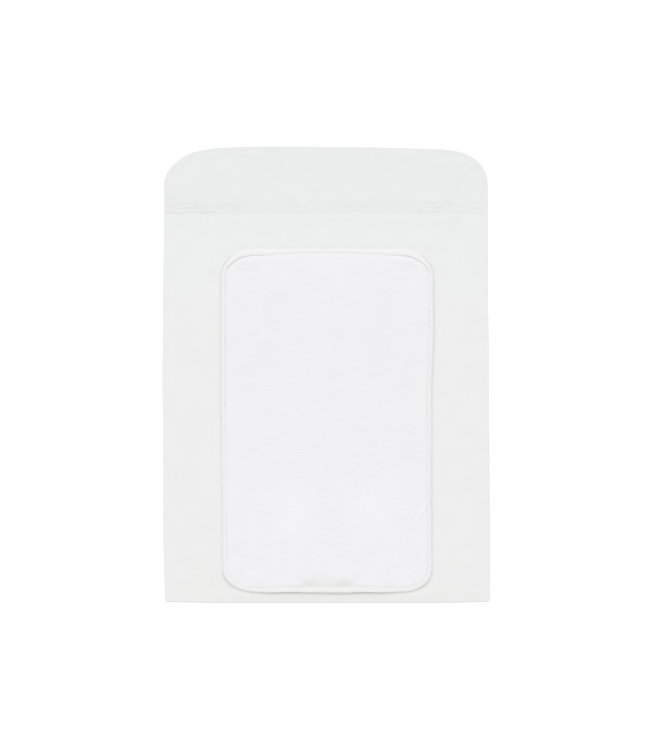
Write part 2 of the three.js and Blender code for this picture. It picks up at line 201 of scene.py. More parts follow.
def mesh_object(name, verts, faces, material):
    mesh = bpy.data.meshes.new(name)
    mesh.from_pydata((np.asarray(verts, float) * MM).tolist(), [], faces)
    mesh.validate()
    mesh.update()
    mesh.polygons.foreach_set("use_smooth", [True] * len(mesh.polygons))
    if material:
        mesh.materials.append(material)
    return link(name, mesh)


def grid_faces(rows, cols, offset=0, flip=False, keep=None):
    """Quads of a rows x cols grid of points; keep is a mask of the cells to make."""
    index = offset + np.arange(rows * cols).reshape(rows, cols)
    quads = np.stack([index[:-1, :-1], index[:-1, 1:], index[1:, 1:], index[1:, :-1]], -1)
    if flip:
        quads = quads[..., ::-1]
    quads = quads.reshape(-1, 4)
    if keep is not None:
        quads = quads[keep.reshape(-1)]
    return quads.tolist()


def ring_of(rows, cols):
    """Indices round the outer edge of a grid."""
    index = np.arange(rows * cols).reshape(rows, cols)
    return np.concatenate([index[0, :-1], index[:-1, -1], index[-1, :0:-1], index[:0:-1, 0]])


def grid_normals(points):
    across = np.gradient(points, axis=1)
    along = np.gradient(points, axis=0)
    return unit(np.cross(across, along))


def sheet_between(name, outer, inner, material, outer_is_up=True):
    """A closed sheet from two grids of points. The inner grid may have every point of the
    outer one, or every second point."""
    rows, cols = outer.shape[:2]
    count = rows * cols
    step = (rows - 1) // (inner.shape[0] - 1)
    verts = np.concatenate([outer.reshape(-1, 3), inner.reshape(-1, 3)])
    faces = grid_faces(rows, cols, 0, flip=not outer_is_up)
    faces += grid_faces(*inner.shape[:2], count, flip=outer_is_up)
    outside = ring_of(rows, cols)
    inside = ring_of(*inner.shape[:2]) + count
    for i in range(len(inside)):
        span = [outside[(i * step + k) % len(outside)] for k in range(step + 1)]
        face = span[::-1] + [inside[i], inside[(i + 1) % len(inside)]]
        faces.append([int(k) for k in (face if outer_is_up else face[::-1])])
    return mesh_object(name, verts, faces, material)


def layer(name, x, y, low, high, material):
    """A closed sheet between two heights over the same grid of places."""
    upper, lower = np.stack([x, y, high], -1), np.stack([x, y, low], -1)
    return sheet_between(name, upper, lower, material)


def strip(ring_a, ring_b, flip):
    """Quads between two closed rings of indices."""
    made = np.stack([ring_a, np.roll(ring_a, -1), np.roll(ring_b, -1), ring_b], -1)
    return (made[:, ::-1] if flip else made).tolist()


def odd_lines(lines):
    """Adds a line halfway along the longest gap if their number is even."""
    if len(lines) % 2:
        return lines
    at = int(np.argmax(np.diff(lines)))
    return np.insert(lines, at + 1, (lines[at] + lines[at + 1]) / 2)


def swept_faces(count, around, closed, flip=False):
    """Quads between the rings of a swept section, with end caps if it isn't closed."""
    faces = []
    for i in range(count if closed else count - 1):
        j = (i + 1) % count
        for k in range(around):
            m = (k + 1) % around
            a, b, c, d = i * around + k, j * around + k, j * around + m, i * around + m
            faces.append([a, d, c, b] if flip else [a, b, c, d])
    if not closed:
        first = list(range(around))
        last = [(count - 1) * around + k for k in range(around)]
        faces += [first[::-1], last] if flip else [first, last[::-1]]
    return faces


def tube(points, radius, sides=6, taper=None):
    """Vertices and faces of a round tube along points; taper scales each ring."""
    points = np.asarray(points, float)
    tangent = unit(np.gradient(points, axis=0))
    up = np.where(np.abs(tangent[:, 2:3]) > 0.9, [[1.0, 0, 0]], [[0, 0, 1.0]])
    side = unit(np.cross(tangent, up))
    lift = np.cross(side, tangent)
    angle = np.linspace(0, 2 * np.pi, sides, endpoint=False)
    scale = np.ones(len(points)) if taper is None else np.asarray(taper, float)
    ring = side[:, None] * np.cos(angle)[None, :, None] + lift[:, None] * np.sin(angle)[None, :, None]
    verts = points[:, None] + ring * (radius * scale)[:, None, None]
    return verts.reshape(-1, 3), swept_faces(len(points), sides, False, flip=True)


def joined(parts):
    """Several (verts, faces) lists as one."""
    verts, faces, offset = [], [], 0
    for part_verts, part_faces in parts:
        verts.append(np.asarray(part_verts, float))
        faces += [[offset + i for i in face] for face in part_faces]
        offset += len(part_verts)
    return np.concatenate(verts), faces


def stitches(path, pitch, length, radius, sink=0.25):
    """Separate stitches along a path: each rises out of the cloth and goes back in."""
    travelled = lengths_along(path)
    parts = []
    share = np.linspace(0, 1, 5)
    arch = -sink + (sink + 0.75 * radius) * np.sin(np.pi * share) ** 0.6
    taper = np.array([0.55, 0.95, 1.0, 0.95, 0.55])
    for start in np.arange(0.4, travelled[-1] - length, pitch):
        s = start + share * length
        points = np.stack([np.interp(s, travelled, path[:, k]) for k in range(3)], -1)
        points[:, 2] += arch
        parts.append(tube(points, radius, 6, taper=taper))
    return joined(parts)


def as_piece(obj, body, slot, *nodes):
    """Puts a mesh on its body, or across the fold, in place of the CAD nodes that it shows."""
    if body == "fold":
        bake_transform(obj)
    else:
        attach(obj, body)
    if nodes:
        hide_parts(*nodes)


def stitched(name, body, node, path, **stitch):
    """A row of stitches along a path, shown in place of a thread node."""
    obj = mesh_object(name, *stitches(path, **stitch), THREAD)
    as_piece(obj, body, "thread", node)


# ---------------------------------------------------------------- the pad's outline
def crown(x):
    """The head edge bows out, with its highest point left of the middle."""
    right = 4.0 * ((x + 90) / 265) ** 2
    left = np.minimum(2.5 * ((x + 90) / 80) ** 2, 3.4)
    return HEAD_Y + 0.5 - np.where(x > -90, right, left)


def head_edge(x):
    """Y of the head edge above each x, round both head corners."""
    u = np.clip((np.abs(x) - CORNER_START_X) / (HALF_WIDTH - CORNER_START_X), 0, 1)
    power = np.where(x < 0, HEAD_CORNER_POWER[-1], HEAD_CORNER_POWER[1])
    rise = (1 - u**power) ** (1 / power)
    return CORNER_START_Y + (crown(x) - CORNER_START_Y) * rise


def foot_edge(x):
    """Y of the foot edge below each x: it bows out a little between its rounded corners."""
    u = np.clip((np.abs(x) - HALF_WIDTH) / FOOT_CORNER + 1, 0, 1)
    bow = 0.9 * smoothstep((238 - np.abs(x)) / 70) + 0.4 * bell((x - 130) / 40)
    return FOOT_Y - bow + FOOT_CORNER * (1 - np.sqrt(1 - u * u))


def side_edge(sign, y):
    """Half width of the pad on one side: the cloth doesn't lie quite straight."""
    right = HALF_WIDTH + 1.1 - 0.0065 * (y + 40) - 0.6 * bell((y - 125) / 40)
    left = HALF_WIDTH + 0.5 - 1.4 * smoothstep((y - 100) / 200) - 3.2 * smoothstep((-280 - y) / 70)
    left += 0.8 * bell((y + 8) / 45) - 0.6 * bell((y - 205) / 60) - 1.2 * bell((y + 288) / 30)
    return np.where(sign > 0, right, left)


def side_path(sign, y):
    """Points along one side of the pad."""
    return np.stack([sign * side_edge(sign, y), y], -1)


def pad_plan(cols, rows):
    """Lays nominal grid lines out over the pad's real outline. Also gives edge distance."""
    c, r = np.meshgrid(cols, rows)
    top = head_edge(c)
    bottom = foot_edge(c)
    y = np.where(r > SEAM_Y, SEAM_Y + (r - SEAM_Y) * (top - SEAM_Y) / (HEAD_Y - SEAM_Y), r)
    y = np.where(r < SEAM_Y, y + (bottom - FOOT_Y) * ((SEAM_Y - r) / (SEAM_Y - FOOT_Y)) ** 4, y)
    across = np.abs(c) / HALF_WIDTH
    x = c * (1 + (side_edge(np.sign(c), y) / HALF_WIDTH - 1) * across**2)
    slope = (head_edge(np.clip(c + 0.05, -HALF_WIDTH, HALF_WIDTH)) - head_edge(c - 0.05 * np.sign(c))) / 0.1
    from_head = np.maximum(top - y, 0) / np.sqrt(1 + slope**2)
    from_side = HALF_WIDTH - np.abs(c)
    from_foot = np.maximum(y - bottom, 0)
    tiny = 1e-3
    power = 3
    sum_of = (from_side + tiny) ** -power + (from_foot + tiny) ** -power + (from_head + tiny) ** -power
    distance = sum_of ** (-1 / power) - tiny
    edge = np.minimum(np.minimum(from_side, from_foot), from_head) <= 1e-6
    return x, y, np.where(edge, 0, np.maximum(distance, 0))


def padded_profile(distance):
    """0 at the edge to 1 inside, as a padded edge rounds over."""
    u = np.clip(distance / EDGE_ROUND, 0, 1)
    return (1 - (1 - u) ** 2.2) ** (1 / 2.2)


# ---------------------------------------------------------------- simulated slack
CLOTH_STEP = 5.0  # spacing of the simulated threads
CLOTH_FRAMES = 20
CLOTH_PRESSURE = 4.0
MOST_MOVED = 0.6  # a point of the cloth may rise or sink this far


def settled_cloth(name, low, high, held, slack):
    """Simulates a cloth lying a little slack over its padding, held where held(x, y) is true.

    Gives a function of x and y: how far the cloth has moved up from lying flat."""
    cols = rows_between(low[0], high[0], CLOTH_STEP)
    rows = rows_between(low[1], high[1], CLOTH_STEP)
    x, y = np.meshgrid(cols, rows)
    start = 0.05 * value_noise(x, y, 24, 71)
    obj = mesh_object(name, np.stack([x, y, start], -1).reshape(-1, 3), grid_faces(*x.shape), None)
    pins = obj.vertex_groups.new(name="held")
    pins.add(np.flatnonzero(held(x, y)).tolist(), 1.0, "REPLACE")
    cloth = obj.modifiers.new("cloth", "CLOTH")
    cloth.settings.vertex_group_mass = "held"
    cloth.settings.shrink_min = -slack
    cloth.settings.use_pressure = True
    cloth.settings.uniform_pressure_force = CLOTH_PRESSURE
    cloth.settings.effector_weights.gravity = 0
    cloth.point_cache.frame_start = 1
    cloth.point_cache.frame_end = CLOTH_FRAMES
    scene = bpy.context.scene
    for number in range(1, CLOTH_FRAMES + 1):
        scene.frame_set(number)
    bpy.context.view_layer.objects.active = obj
    bpy.ops.object.modifier_apply(modifier=cloth.name)
    moved = np.array([v.co[2] for v in obj.data.vertices]).reshape(x.shape) / MM
    bpy.data.objects.remove(obj)
    scene.frame_set(1)
    for axis in (0, 1):
        moved = (np.roll(moved, 1, axis) + 2 * moved + np.roll(moved, -1, axis)) / 4
    moved = MOST_MOVED * np.tanh(moved / MOST_MOVED)

    def height(px, py):
        u = np.clip((px - cols[0]) / (cols[1] - cols[0]), 0, len(cols) - 1.001)
        v = np.clip((py - rows[0]) / (rows[1] - rows[0]), 0, len(rows) - 1.001)
        i, j = u.astype(int), v.astype(int)
        return between_four(lambda a, b: moved[b, a], i, j, u - i, v - j)

    return height


def cover_is_held(x, y):
    """The covers are sewn together round the edge and across at the seam."""
    at_edge = (np.abs(x) > HALF_WIDTH - 6) | (y < FOOT_Y + 6) | (y > HEAD_Y - 6)
    corner_x = np.maximum(np.abs(x) - CORNER_START_X, 0) / (HALF_WIDTH - CORNER_START_X)
    corner_y = np.maximum(y - CORNER_START_Y, 0) / (HEAD_Y - CORNER_START_Y)
    return at_edge | (np.hypot(corner_x, corner_y) > 0.9) | (np.abs(y - SEAM_Y) < 6)


COVER_SLACK = settled_cloth("cover_threads", BODY_LOW, HEAD_HIGH, cover_is_held, 0.004)


# ---------------------------------------------------------------- cloth relief
GATHERED = [
    # from x, to x, extra strength: the elastic draws some stretches of the seam in more
    (-246, -144, 0.85), (-140, -86, 0.15), (-84, -30, 0.4), (50, 66, 0.25), (76, 88, 0.25),
    (102, 128, 0.3), (148, 178, 0.8), (186, 214, 0.75), (218, 249, 0.5),
]


def gather_strength(x):
    strength = np.full(np.shape(x), 0.16)
    for low, high, extra in GATHERED:
        strength = strength + extra * smoothstep((x - low) / 7 + 0.5) * smoothstep((high - x) / 7 + 0.5)
    return strength


def make_puckers():
    """Where the elastic draws the cloth into small ridges on both sides of the seam."""
    puckers = []
    for side in (-1, 1):
        x = -HALF_WIDTH + 4
        while x < HALF_WIDTH - 4:
            reach = rng.uniform(5, 13) if side > 0 else rng.uniform(3, 8)
            if rng.random() < 0.12:
                reach *= 2.2
            puckers.append((
                x, side, reach, rng.uniform(-0.5, 0.5), rng.uniform(1.9, 3.1),
                rng.uniform(0.35, 1.0) * rng.choice([1, 1, 1, -0.7]),
            ))
            x += rng.uniform(4.2, 9.0)
    return puckers


PUCKERS = make_puckers()


def seam_relief(x, y):
    """Height change near the fold line: the channel, its two rows and the gathers."""
    s = y - SEAM_Y
    pull = gather_strength(x)
    relief = -0.35 * bell(s / 9.5) + 0.45 * (0.15 + 0.85 * pull) * bell(s / 2.2)
    relief += -0.4 * pull * bell((np.abs(s) - ROW_OFFSET) / 0.8)
    near = np.abs(s) < 45
    xs, ss = x[near], s[near]
    gathers = np.zeros_like(xs)
    for at, side, reach, lean, width, height in PUCKERS:
        t = ss * side
        window = smoothstep((t + 1.5) / 3.5) * np.exp(-np.maximum(t - 3.5, 0) / reach)
        gathers += height * bell((xs - at - lean * ss) / (width + 0.1 * np.maximum(t, 0))) * window
    slanted = value_noise(xs + 0.8 * ss, ss, 2.6, 5) + 0.8 * value_noise(xs - 0.9 * ss, ss, 2.3, 6)
    crumple = slanted * (0.12 * bell(ss / 3.4) + 0.62 * smoothstep((ss - 4) / 2) * smoothstep((17 - ss) / 6))
    relief[near] += (gathers * 0.75 + crumple) * gather_strength(xs)
    return relief


HEAD_FOLDS = [
    # start, end, width, height
    ((206, 318), (184, 266), 8, 0.55),
    ((224, 316), (194, 262), 7, -0.7),
    ((241, 312), (238, 264), 3, 0.7),
    ((234, 318), (243, 280), 3.5, -0.7),
    ((222, 330), (196, 341), 6, -0.8),
    ((198, 338), (150, 334), 6, -0.8),
    ((200, 232), (197, 194), 3.5, -0.8),
    ((150, 256), (158, 322), 8, 0.45),
    ((198, 236), (190, 196), 6, -0.5),
    ((182, 240), (172, 188), 9, 0.45),
    ((120, 258), (128, 300), 7, 0.35),
    ((-177, 244), (-178, 218), 3.4, -1.5),
    ((-188, 246), (-186, 234), 4, -1.2),
    ((-170, 240), (-168, 222), 4, 0.35),
    ((-20, 296), (-17, 282), 4, 0.5),
    ((-200, 256), (-214, 300), 8, 0.35),
    ((-150, 256), (-146, 300), 7, -0.3),
    ((-226, 322), (-206, 336), 5, 0.4),
    ((60, 256), (52, 316), 9, 0.3),
]
BODY_UNDULATIONS = [
    ((196, -70), (205, -235), 16, -0.45),
    ((222, -60), (226, -250), 12, 0.35),
    ((-220, -140), (-222, -260), 11, -0.4),
    ((-200, 90), (-206, -60), 18, 0.3),
    ((205, 150), (198, 20), 16, 0.35),
    ((-190, -270), (-120, -342), 14, 0.3),
    ((190, -280), (140, -342), 13, 0.3),
]


def cover_relief(x, y, distance):
    relief = with_folds(seam_relief(x, y), x, y, HEAD_FOLDS + BODY_UNDULATIONS)
    soft = value_noise(x, y, 38, 3) * 0.22 + value_noise(x, y, 15, 4) * 0.07
    relief += soft * (1 + 1.2 * smoothstep((y - SEAM_Y) / 20)) + COVER_SLACK(x, y)
    return relief * smoothstep(distance / 9)


def under_liner(x, y):
    """1 where the liner lies on the cover, so that nothing pokes up into it."""
    inside_x = LINER_HALF_X - np.abs(x - LINER_CENTRE[0])
    inside_y = LINER_HALF_Y - np.abs(y - LINER_CENTRE[1])
    return smoothstep(np.minimum(inside_x, inside_y) / 8 + 0.5)


def cover_top(x, y, distance):
    base = MID_Z + (PAD_TOP - 0.15 - MID_Z) * padded_profile(distance)
    slump = -0.35 * np.exp(-distance / 28) * smoothstep(distance / EDGE_ROUND)
    relief = cover_relief(x, y, distance)
    pressed = np.minimum(relief, 0.05) * 0.3
    covered = under_liner(x, y)
    return base + slump + relief * (1 - covered) + pressed * covered


def back_surface(x, y, distance):
    base = MID_Z - (MID_Z - 0.05) * padded_profile(distance)
    s = y - SEAM_Y
    relief = 1.0 * bell(s / 8) + 0.5 * bell((np.abs(s) - ROW_OFFSET) / 1.2)
    relief += np.maximum(0, value_noise(x, y, 30, 9)) * 0.25
    near = bell(s / 9)
    relief += near * np.maximum(0, value_noise(x, y * 0.3, 4, 12)) * 0.7 * gather_strength(x)
    return base + relief * smoothstep(distance / 9)


# ---------------------------------------------------------------- materials
def new_material(name):
    material = bpy.data.materials.new(name)
    material.use_nodes = True
    tree = material.node_tree
    shader = tree.nodes["Principled BSDF"]
    return material, tree, shader


def set_inputs(node, values):
    for name, value in dict(values).items():
        node.inputs[name].default_value = value


def add(tree, kind, inputs=(), **attributes):
    """A new shader node with values on its inputs and attributes."""
    node = tree.nodes.new(kind)
    for name, value in attributes.items():
        setattr(node, name, value)
    set_inputs(node, inputs)
    return node


def scaled_position(tree, scale):
    """Object coordinates times a size, so that patterns keep their real scale."""
    where = add(tree, "ShaderNodeTexCoord")
    mapping = add(tree, "ShaderNodeMapping", {"Scale": scale})
    tree.links.new(where.outputs["Object"], mapping.inputs["Vector"])
    return mapping.outputs["Vector"]


def weave_height(tree, scale):
    """Plain weave: two crossed waves, added up to small rounded squares. They have about
    3.2 threads per metre for each 1 of scale."""
    heights = []
    for direction in ("X", "Y"):
        waves = {"Scale": scale, "Distortion": 0.6, "Detail": 1.0}
        wave = add(tree, "ShaderNodeTexWave", waves, wave_type="BANDS", bands_direction=direction)
        tree.links.new(scaled_position(tree, (1, 1, 1)), wave.inputs["Vector"])
        heights.append(wave.outputs["Fac"])
    crossed = add(tree, "ShaderNodeMath", operation="ADD")
    tree.links.new(heights[0], crossed.inputs[0])
    tree.links.new(heights[1], crossed.inputs[1])
    return crossed.outputs[0]


def noise_output(tree, scale, detail=3.0, stretch=(1, 1, 1)):
    noise = add(tree, "ShaderNodeTexNoise", {"Scale": scale, "Detail": detail})
    tree.links.new(scaled_position(tree, stretch), noise.inputs["Vector"])
    return noise.outputs["Fac"]


def colour_between(tree, factor, low, high):
    ramp = add(tree, "ShaderNodeValToRGB")
    for element, position, colour in zip(ramp.color_ramp.elements, (0.3, 0.7), (low, high)):
        element.position = position
        element.color = (*colour, 1)
    tree.links.new(factor, ramp.inputs["Fac"])
    return ramp.outputs["Color"]


def bump_into(tree, shader, heights):
    """Stacks bumps: each is (height output, distance in metres, strength)."""
    normal = None
    for height, distance, strength in heights:
        bump = add(tree, "ShaderNodeBump", {"Distance": distance, "Strength": strength})
        tree.links.new(height, bump.inputs["Height"])
        if normal is not None:
            tree.links.new(normal, bump.inputs["Normal"])
        normal = bump.outputs["Normal"]
    tree.links.new(normal, shader.inputs["Normal"])


def finish_cloth(tree, shader, weave_scale, sheen, rough):
    """Roughness, sheen, crumple and weave, the same way for every woven cloth."""
    set_inputs(shader, {
        "Roughness": rough, "Sheen Weight": sheen, "Sheen Roughness": 0.5, "Specular IOR Level": 0.2,
    })
    bump_into(tree, shader, [
        (noise_output(tree, 260, 2), 0.0003, 0.15),
        (weave_height(tree, weave_scale), 0.00008, 0.35),
    ])


def cloth_material(name, low, high, weave_scale=1100, sheen=0.25, rough=0.9):
    material, tree, shader = new_material(name)
    colour = colour_between(tree, noise_output(tree, 30, 4), low, high)
    tree.links.new(colour, shader.inputs["Base Color"])
    finish_cloth(tree, shader, weave_scale, sheen, rough)
    return material


def cover_material():
    """White cotton, one cloth for both sections; its tone turns a little greener along the pad, with painted
    shade darkening it towards the head.
    """
    material, tree, shader = new_material("cover_cloth")
    place = add(tree, "ShaderNodeSeparateXYZ")
    tree.links.new(scaled_position(tree, (1, 1, 1)), place.inputs[0])
    ends = {"From Min": FOOT_Y * MM, "From Max": HEAD_Y * MM}
    along = add(tree, "ShaderNodeMapRange", ends)
    tree.links.new(place.outputs["Y"], along.inputs["Value"])
    ramp = add(tree, "ShaderNodeValToRGB")
    first, last = ramp.color_ramp.elements
    first.color = (*COVER_TONES_AND_PAINTED_SHADE[0][1], 1)
    last.position = 1
    last.color = (*COVER_TONES_AND_PAINTED_SHADE[-1][1], 1)
    for position, tone in COVER_TONES_AND_PAINTED_SHADE[1:-1]:
        ramp.color_ramp.elements.new(position).color = (*tone, 1)
    tree.links.new(along.outputs["Result"], ramp.inputs["Fac"])
    shade = colour_between(tree, noise_output(tree, 45, 2), (0.992, 0.992, 0.992), (1.008, 1.008, 1.008))
    mix = add(tree, "ShaderNodeMix", {"Factor": 1}, data_type="RGBA", blend_type="MULTIPLY")
    tree.links.new(ramp.outputs["Color"], mix.inputs["A"])
    tree.links.new(shade, mix.inputs["B"])
    tree.links.new(mix.outputs["Result"], shader.inputs["Base Color"])
    finish_cloth(tree, shader, weave_scale=1100, sheen=0.25, rough=0.9)
    return material


def colour_from_mesh(tree, attribute, gain, base, low, high):
    """A colour between two, by a value written on the mesh's points."""
    written = add(tree, "ShaderNodeAttribute", attribute_name=attribute)
    scaled = add(tree, "ShaderNodeMath", {1: gain, 2: base}, operation="MULTIPLY_ADD")
    tree.links.new(written.outputs["Fac"], scaled.inputs[0])
    return colour_between(tree, scaled.outputs[0], low, high)


def write_on_points(obj, attribute, values):
    written = obj.data.attributes.new(attribute, "FLOAT", "POINT")
    written.data.foreach_set("value", np.asarray(values, float).ravel())


def terry_material():
    """Looped cotton: its lightness is written on the mesh, random pile tone mixed with painted shade and
    painted light.
    """
    material, tree, shader = new_material("terry")
    low, high = (0.718, 0.717, 0.733), (0.758, 0.757, 0.773)
    colour = colour_from_mesh(tree, "pile_tone_and_painted_shade", 0.13, 0.5, low, high)
    tree.links.new(colour, shader.inputs["Base Color"])
    set_inputs(shader, {
        "Roughness": 1.0, "Sheen Weight": 0.35, "Sheen Roughness": 0.7, "Specular IOR Level": 0.1,
    })
    loops = add(tree, "ShaderNodeTexVoronoi", {"Scale": 750})
    tree.links.new(scaled_position(tree, (0.7, 1, 1)), loops.inputs["Vector"])
    bump_into(tree, shader, [
        (noise_output(tree, 420, 2, (0.4, 1, 1)), 0.0006, 0.4),
        (loops.outputs["Distance"], 0.0005, 0.2),
    ])
    return material


def tape_material(name, folded, shaded_tone):
    """Binding tape with painted shade: a greyer, warmer tone written on its points, where its outer faces
    and the grooves beside it lie in shade.
    """
    material, tree, shader = new_material(name)
    tree.links.new(colour_from_mesh(tree, "painted_shade", 0.4, 0.3, folded, shaded_tone), shader.inputs["Base Color"])
    finish_cloth(tree, shader, weave_scale=900, sheen=0.15, rough=0.75)
    return material


def plain_material(name, colour, rough, grain=600, depth=0.00005):
    material, tree, shader = new_material(name)
    dark = tuple(0.96 * c for c in colour)
    tree.links.new(colour_between(tree, noise_output(tree, 60), dark, colour), shader.inputs["Base Color"])
    set_inputs(shader, {"Roughness": rough})
    bump_into(tree, shader, [(noise_output(tree, grain, 2), depth, 0.4)])
    return material


COVER_TONES_AND_PAINTED_SHADE = [
    # share of the way from foot to head, and tone, darker towards the head as painted shade
    (0.0, (0.7365, 0.736, 0.7336)),
    (0.3, (0.7399, 0.7394, 0.739)),
    (0.62, (0.7409, 0.7404, 0.7394)),
    (0.70, (0.7365, 0.7439, 0.7404)),
    (0.8, (0.7336, 0.7404, 0.7375)),
    (0.87, (0.7208, 0.7286, 0.7252)),
    (1.0, (0.7119, 0.7213, 0.7169)),
]
COVER = cover_material()
BACK = cloth_material("back_cloth", (0.70, 0.705, 0.70), (0.74, 0.745, 0.74))
TERRY = terry_material()
# painted shade: the greyer, warmer tone given to the binding's outer faces and grooves where they lie in
# shade
PAINTED_SHADE_TONE = (0.655, 0.625, 0.555)
BINDING = tape_material("binding_tape", (0.7575, 0.7575, 0.7655), PAINTED_SHADE_TONE)
# painted shade on the lap of the binding, greyer and a little warmer, deepest in its hollows
LAP_PAINTED_SHADE_TONE = (0.650, 0.638, 0.618)
BINDING_LAP = tape_material("binding_lap", (0.748, 0.748, 0.746), LAP_PAINTED_SHADE_TONE)
THREAD = plain_material("thread", (0.80, 0.80, 0.79), 0.6, grain=2500, depth=0.0001)
FOAM = plain_material("foam", (0.80, 0.78, 0.70), 0.95, grain=900, depth=0.0005)
WADDING = plain_material("wadding", (0.85, 0.85, 0.85), 1.0, grain=500, depth=0.001)
FILM = plain_material("waterproof_film", (0.78, 0.79, 0.80), 0.35, grain=300, depth=0.0002)
ZIP_TAPE = cloth_material("zip_tape", (0.72, 0.72, 0.71), (0.76, 0.76, 0.75), 750, sheen=0.1, rough=0.8)
COIL = plain_material("zip_coil", (0.78, 0.78, 0.77), 0.35)
ZIP_METAL = plain_material("zip_enamel", (0.75, 0.75, 0.74), 0.25)
HOOK = plain_material("hook_tape", (0.74, 0.74, 0.73), 0.55)
LOOP = plain_material("loop_tape", (0.77, 0.77, 0.76), 0.95, grain=1500, depth=0.0006)
ELASTIC = cloth_material("elastic", (0.74, 0.74, 0.73), (0.78, 0.78, 0.77), 450, sheen=0.1, rough=0.8)
LABEL = cloth_material("label", (0.80, 0.80, 0.79), (0.84, 0.84, 0.83), 1300, sheen=0.3, rough=0.5)


def body_rows():
    """Grid lines of the body: fine at the foot edge, fine again towards the seam."""
    foot = FOOT_Y + over_rounding(EDGE_ROUND, 7)
    plain = rows_between(FOOT_Y + EDGE_ROUND, SEAM_Y - 30, 3.4)
    near = rows_between(SEAM_Y - 30, SEAM_Y - 12, 1.6)[1:]
    seam = rows_between(SEAM_Y - 12, SEAM_Y, 0.75)[1:]
    return np.concatenate([foot, plain, near, seam])


def head_rows():
    seam = rows_between(SEAM_Y, SEAM_Y + 12, 0.75)
    near = rows_between(SEAM_Y + 12, SEAM_Y + 34, 1.5)[1:]
    plain = rows_between(SEAM_Y + 34, HEAD_Y - EDGE_ROUND, 2.4)[1:]
    edge = HEAD_Y - over_rounding(EDGE_ROUND, 8)
    return np.concatenate([seam, near, plain, edge[::-1]])


def cover(name, rows, node):
    cols = odd_lines(edge_spaced(-HALF_WIDTH, HALF_WIDTH, COLUMN_STEP, EDGE_ROUND))
    x, y, distance = pad_plan(cols, odd_lines(rows))
    outer = np.stack([x, y, cover_top(x, y, distance)], -1)
    inner = (outer - CLOTH * grid_normals(outer))[::2, ::2]
    obj = sheet_between(name, outer, inner, COVER)
    as_piece(obj, "fold", "cover_cloth", node)
    return obj


def zip_hole_lines():
    """The zip's slot in the back: x and y limits, from the CAD's end stops and tapes."""
    stop_low, _ = box_mm("zip_stop_left")
    _, stop_high = box_mm("zip_stop_right")
    middle = (ZIP_TAPE_LOW[1] + box_mm("zip_tape_foot_side")[1][1]) / 2
    x_limits = stop_low[0] - ZIP_SLOT_OVERRUN, stop_high[0] + ZIP_SLOT_OVERRUN
    return *x_limits, middle - ZIP_SLOT_HALF, middle + ZIP_SLOT_HALF


def snapped(lines, values):
    """Grid lines with the nearest ones moved onto given values."""
    lines = lines.copy()
    for value in values:
        lines[np.argmin(np.abs(lines - value))] = value
    return lines


def back_cover(name, rows, node, with_slot):
    cols = edge_spaced(-HALF_WIDTH, HALF_WIDTH, 2.6, EDGE_ROUND)
    if with_slot:
        x0, x1, y0, y1 = zip_hole_lines()
        cols = snapped(cols, (x0, x1))
        rows = snapped(rows, (y0, y1))
    x, y, distance = pad_plan(cols, rows)
    outer = np.stack([x, y, back_surface(x, y, distance)], -1)
    inner = outer + CLOTH * grid_normals(outer)
    if not with_slot:
        obj = sheet_between(name, outer, inner, BACK, outer_is_up=False)
    else:
        obj = slotted_sheet(name, outer, inner, cols, rows, (x0, x1, y0, y1))
    as_piece(obj, "fold", "back_cloth", node)
    return obj


def slotted_sheet(name, outer, inner, cols, rows, hole):
    """The back cover: its cloth turns up into a welt around the zip's slot."""
    x0, x1, y0, y1 = hole
    n_rows, n_cols = outer.shape[:2]
    count = n_rows * n_cols
    i0, i1 = int(np.argmin(np.abs(cols - x0))), int(np.argmin(np.abs(cols - x1)))
    j0, j1 = int(np.argmin(np.abs(rows - y0))), int(np.argmin(np.abs(rows - y1)))
    keep = np.ones((n_rows - 1, n_cols - 1), bool)
    keep[j0:j1, i0:i1] = False
    verts = [outer.reshape(-1, 3), inner.reshape(-1, 3)]
    faces = grid_faces(n_rows, n_cols, 0, flip=True, keep=keep)
    faces += grid_faces(n_rows, n_cols, count, keep=keep)
    ring = ring_of(n_rows, n_cols)
    faces += strip(ring, ring + count, False)
    index = np.arange(count).reshape(n_rows, n_cols)
    loop = np.concatenate([
        index[j0, i0:i1], index[j0:j1, i1], index[j1, i1:i0:-1], index[j1:j0:-1, i0],
    ])
    base_outer = outer.reshape(-1, 3)[loop]
    base_inner = inner.reshape(-1, 3)[loop]
    centre = np.array([(x0 + x1) / 2, (y0 + y1) / 2])
    half = np.array([(x1 - x0) / 2, (y1 - y0) / 2])
    outward = np.sign((base_outer[:, :2] - centre) * (np.abs(base_outer[:, :2] - centre) > half - 0.01))
    welt_top = ZIP_TAPE_LOW[2] - 0.35
    offset = 2 * count
    rings_out, rings_in = [loop], [loop + count]
    for share, roll in ((0.25, 0.35), (0.6, 0.5), (1.0, 0.3)):
        for base, rings, gap in ((base_outer, rings_out, 0.0), (base_inner, rings_in, CLOTH)):
            ring = base.copy()
            ring[:, :2] += outward * (roll + gap)
            ring[:, 2] = base_outer[:, 2] + (welt_top - base_outer[:, 2]) * share
            if gap:
                ring[:, 2] = np.maximum(ring[:, 2], base_inner[:, 2])
            verts.append(ring)
            rings.append(np.arange(len(loop)) + offset)
            offset += len(loop)

    for rings, flip in ((rings_out, True), (rings_in, False)):
        for a, b in zip(rings[:-1], rings[1:]):
            faces += strip(a, b, flip)
    faces += strip(rings_out[-1], rings_in[-1], True)
    return mesh_object(name, np.concatenate(verts), faces, BACK)


